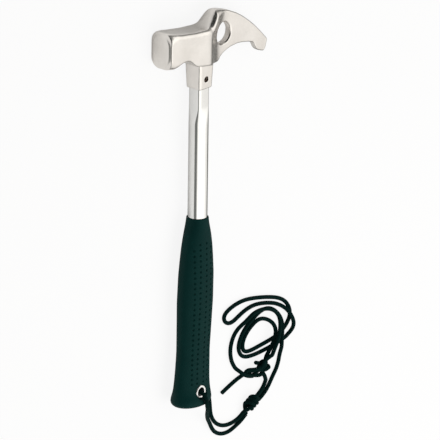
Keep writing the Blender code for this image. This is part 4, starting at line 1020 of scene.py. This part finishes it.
# %% The free stretches
short_run = add_stretch("braid_short_run", SHORT_RUN, "cord_short_run")
add_stretch("braid_near_leg", NEAR_LEG, "cord_near_leg")
add_stretch("braid_far_leg", FAR_LEG, "cord_far_leg")
add_stretch("braid_main_loops", MAIN_LOOPS, "cord_main_loops")
add_stretch("braid_outer_loop", OUTER_LOOP, "cord_outer_loop")
add_stretch("braid_tail", TAIL, "cord_tail")

# %% [markdown]
# ## The table and the light
#
# The photograph was taken on pure white. A plain table stands in for it: it takes the hammer's shadow, and
# the camera sees it mostly as plain white. Two lights make the picture: a white sky all round, and one broad
# lamp overhead that casts the soft shadow.
# Steel shows its surroundings more than itself, so mirror-like rays see a room of their own: a bright tent,
# brightest overhead, with a dark gap near the horizon; beyond the head a dark flag on the striking face's
# side and a narrow grey strip on the pick's side; and past the shaft a grey shade painted on the table,
# which only these rays see. Together they draw the dark lines on the crest and down the tube. The sky could
# be a picture of a studio, but a few directions and smooth steps say the same.

# %% Table
WHITE = (1, 1, 1, 1)
TABLE_REACH, TABLE_DROP = 12.0, 0.0002
TABLE_COLOUR, TABLE_SEEN, TABLE_MIRRORED = (0.9, 0.89, 0.87, 1), 0.88, 0.1
# The grey below is painted shade: past the shaft the table shows it to mirror-like rays only, between two
# places in x.
PAINTED_SHADE_GREY, PAINTED_SHADE_START, PAINTED_SHADE_END = (0.22, 0.22, 0.21, 1), 0.02, 0.07


def light(tree, kind, colour, strength=1.0):
    """An Emission or Background shader of one colour."""
    return add_node(tree, kind, {"Color": colour, "Strength": strength}).outputs[0]


def mix_shaders(tree, factor, first, second):
    """The first shader where the factor is 0, and the second where it is 1."""
    return add_node(tree, "MixShader", {0: factor, 1: first, 2: second}).outputs[0]


def seen_directly(tree, path):
    """1 for rays from the camera, also through glass, and 0 for all others."""
    return maths(tree, "MAXIMUM", path["Is Camera Ray"], path["Is Transmission Ray"])


def add_table():
    """A square just under the hammer. A plain white glow takes a share of what the camera sees and a smaller
    one of what mirror-like rays see. Past the shaft they see a painted grey shade, by a smooth step in x."""
    mesh = bpy.data.meshes.new("table")
    corners = ((-1, -1), (1, -1), (1, 1), (-1, 1))
    mesh.from_pydata([(TABLE_REACH * x, TABLE_REACH * y, 0) for x, y in corners], [], [(0, 1, 2, 3)])
    table = put("table", mesh)
    table.location.z = -TABLE_DROP
    material, tree, shader = new_material("white_table", Base_Color=TABLE_COLOUR, Roughness=0.9,
                                          Specular_IOR_Level=0.1)
    path = add_node(tree, "LightPath").outputs
    share = maths(tree, "MAXIMUM", maths(tree, "MULTIPLY", seen_directly(tree, path), TABLE_SEEN),
                  maths(tree, "MULTIPLY", path["Is Glossy Ray"], TABLE_MIRRORED))
    lit = mix_shaders(tree, share, shader.outputs[0], light(tree, "Emission", WHITE))
    # Painted shade: past the shaft, mirror-like rays see a dark grey emission on the table instead of its
    # white.
    x = add_node(tree, "SeparateXYZ", {0: add_node(tree, "TexCoord").outputs["Object"]}).outputs["X"]
    far_right = ramp(tree, x, PAINTED_SHADE_START, PAINTED_SHADE_END, kind="SMOOTHSTEP")
    dim = maths(tree, "MULTIPLY", far_right, path["Is Glossy Ray"])
    look = mix_shaders(tree, dim, lit, light(tree, "Emission", PAINTED_SHADE_GREY))
    tree.links.new(look, tree.nodes["Material Output"].inputs["Surface"])
    mesh.materials.append(material)


add_table()
print(f"table: {2 * TABLE_REACH:.0f} m wide, {TABLE_SEEN:.0%} of it plain white to the camera")

# %% Sky
SKY_STRENGTH = 0.62
TENT, TENT_BRIGHT, OVERHEAD = (0.95, 0.93, 0.90, 1), (1.3, 1.28, 1.24, 1), (-0.3, 0.5, 1.0)
GAP_LEFT, GAP_RIGHT, GAP_LEAN = (0.17, 0.175, 0.165, 1), (0.12, 0.118, 0.11, 1), 0.30
STRIP, STRIP_WAY = (0.3, 0.295, 0.28, 1), (0.62, 0.78, 0.05)
FLAG, FLAG_WAY = (0.03, 0.032, 0.03, 1), (-0.5, 0.75, 0.4)
BRIGHT_EDGES, GAP_EDGES, GAP_TURN = (0.22, 0.5), (0.1, 0.4), (-0.2, 0.7)
STRIP_EDGES, FLAG_EDGES = (0.98, 0.91), (0.66, 0.36)


def add_sky():
    """Plain white to the camera and weaker white as light. Smooth steps mix the room that mirror-like rays
    see: in z plus lean times x (x below 0 only) between gap and tent, in x between the gap's two greys, and
    in the dot product with a direction for the bright part, the strip and the flag."""
    world = bpy.data.worlds.new("soft_tent")
    bpy.context.scene.world = world
    world.use_nodes = True
    tree = world.node_tree
    path = add_node(tree, "LightPath").outputs
    way = add_node(tree, "TexCoord").outputs["Generated"]
    x, _, z = add_node(tree, "SeparateXYZ", {0: way}).outputs

    def step(value, start, end):
        """A smooth step over the value: 0 at the start, 1 at the end."""
        return ramp(tree, value, start, end, kind="SMOOTHSTEP")

    def along(direction):
        """How far a ray goes along the direction: their dot product."""
        return add_node(tree, "VectorMath", {0: way, 1: direction}, operation="DOT_PRODUCT").outputs["Value"]

    height = maths(tree, "MULTIPLY_ADD", maths(tree, "MINIMUM", x, 0.0), GAP_LEAN, z)
    gap = mix_colours(tree, step(x, *GAP_TURN), GAP_LEFT, GAP_RIGHT)
    tent = mix_colours(tree, step(along(OVERHEAD), *BRIGHT_EDGES), TENT, TENT_BRIGHT)
    room = mix_colours(tree, step(height, *GAP_EDGES), gap, tent)
    room = mix_colours(tree, step(along(STRIP_WAY), *STRIP_EDGES), STRIP, room)
    room = mix_colours(tree, step(along(FLAG_WAY), *FLAG_EDGES), FLAG, room)
    lit = mix_shaders(tree, path["Is Glossy Ray"], light(tree, "Background", WHITE, SKY_STRENGTH),
                      light(tree, "Background", room))
    look = mix_shaders(tree, seen_directly(tree, path), lit, light(tree, "Background", WHITE))
    tree.links.new(look, tree.nodes["World Output"].inputs["Surface"])


add_sky()
print(f"sky: white, strength {SKY_STRENGTH}; mirror-like rays see the room instead")

# %% Lamp
LAMP_PLACE, LAMP_SIZE, LAMP_POWER = (0.25, -0.45, 0.8), 0.9, 4.5


def add_lamp():
    """A square lamp that shines at the middle of the table: its back is the way from there to its place. It
    is hidden from mirror-like rays, which would show its edges on the steel."""
    data = bpy.data.lights.new("overhead", "AREA")
    data.shape, data.size, data.energy = "SQUARE", LAMP_SIZE, LAMP_POWER
    lamp = put("overhead", data)
    back = np.array(LAMP_PLACE) / np.linalg.norm(LAMP_PLACE)
    side = np.cross((0, 1, 0), back)
    side /= np.linalg.norm(side)
    stand(lamp, (side, np.cross(back, side), back), LAMP_PLACE)
    lamp.visible_glossy = False


add_lamp()
bpy.context.scene.view_settings.view_transform = "Standard"
print(f"lamp: {LAMP_SIZE} m square, {LAMP_POWER} W")
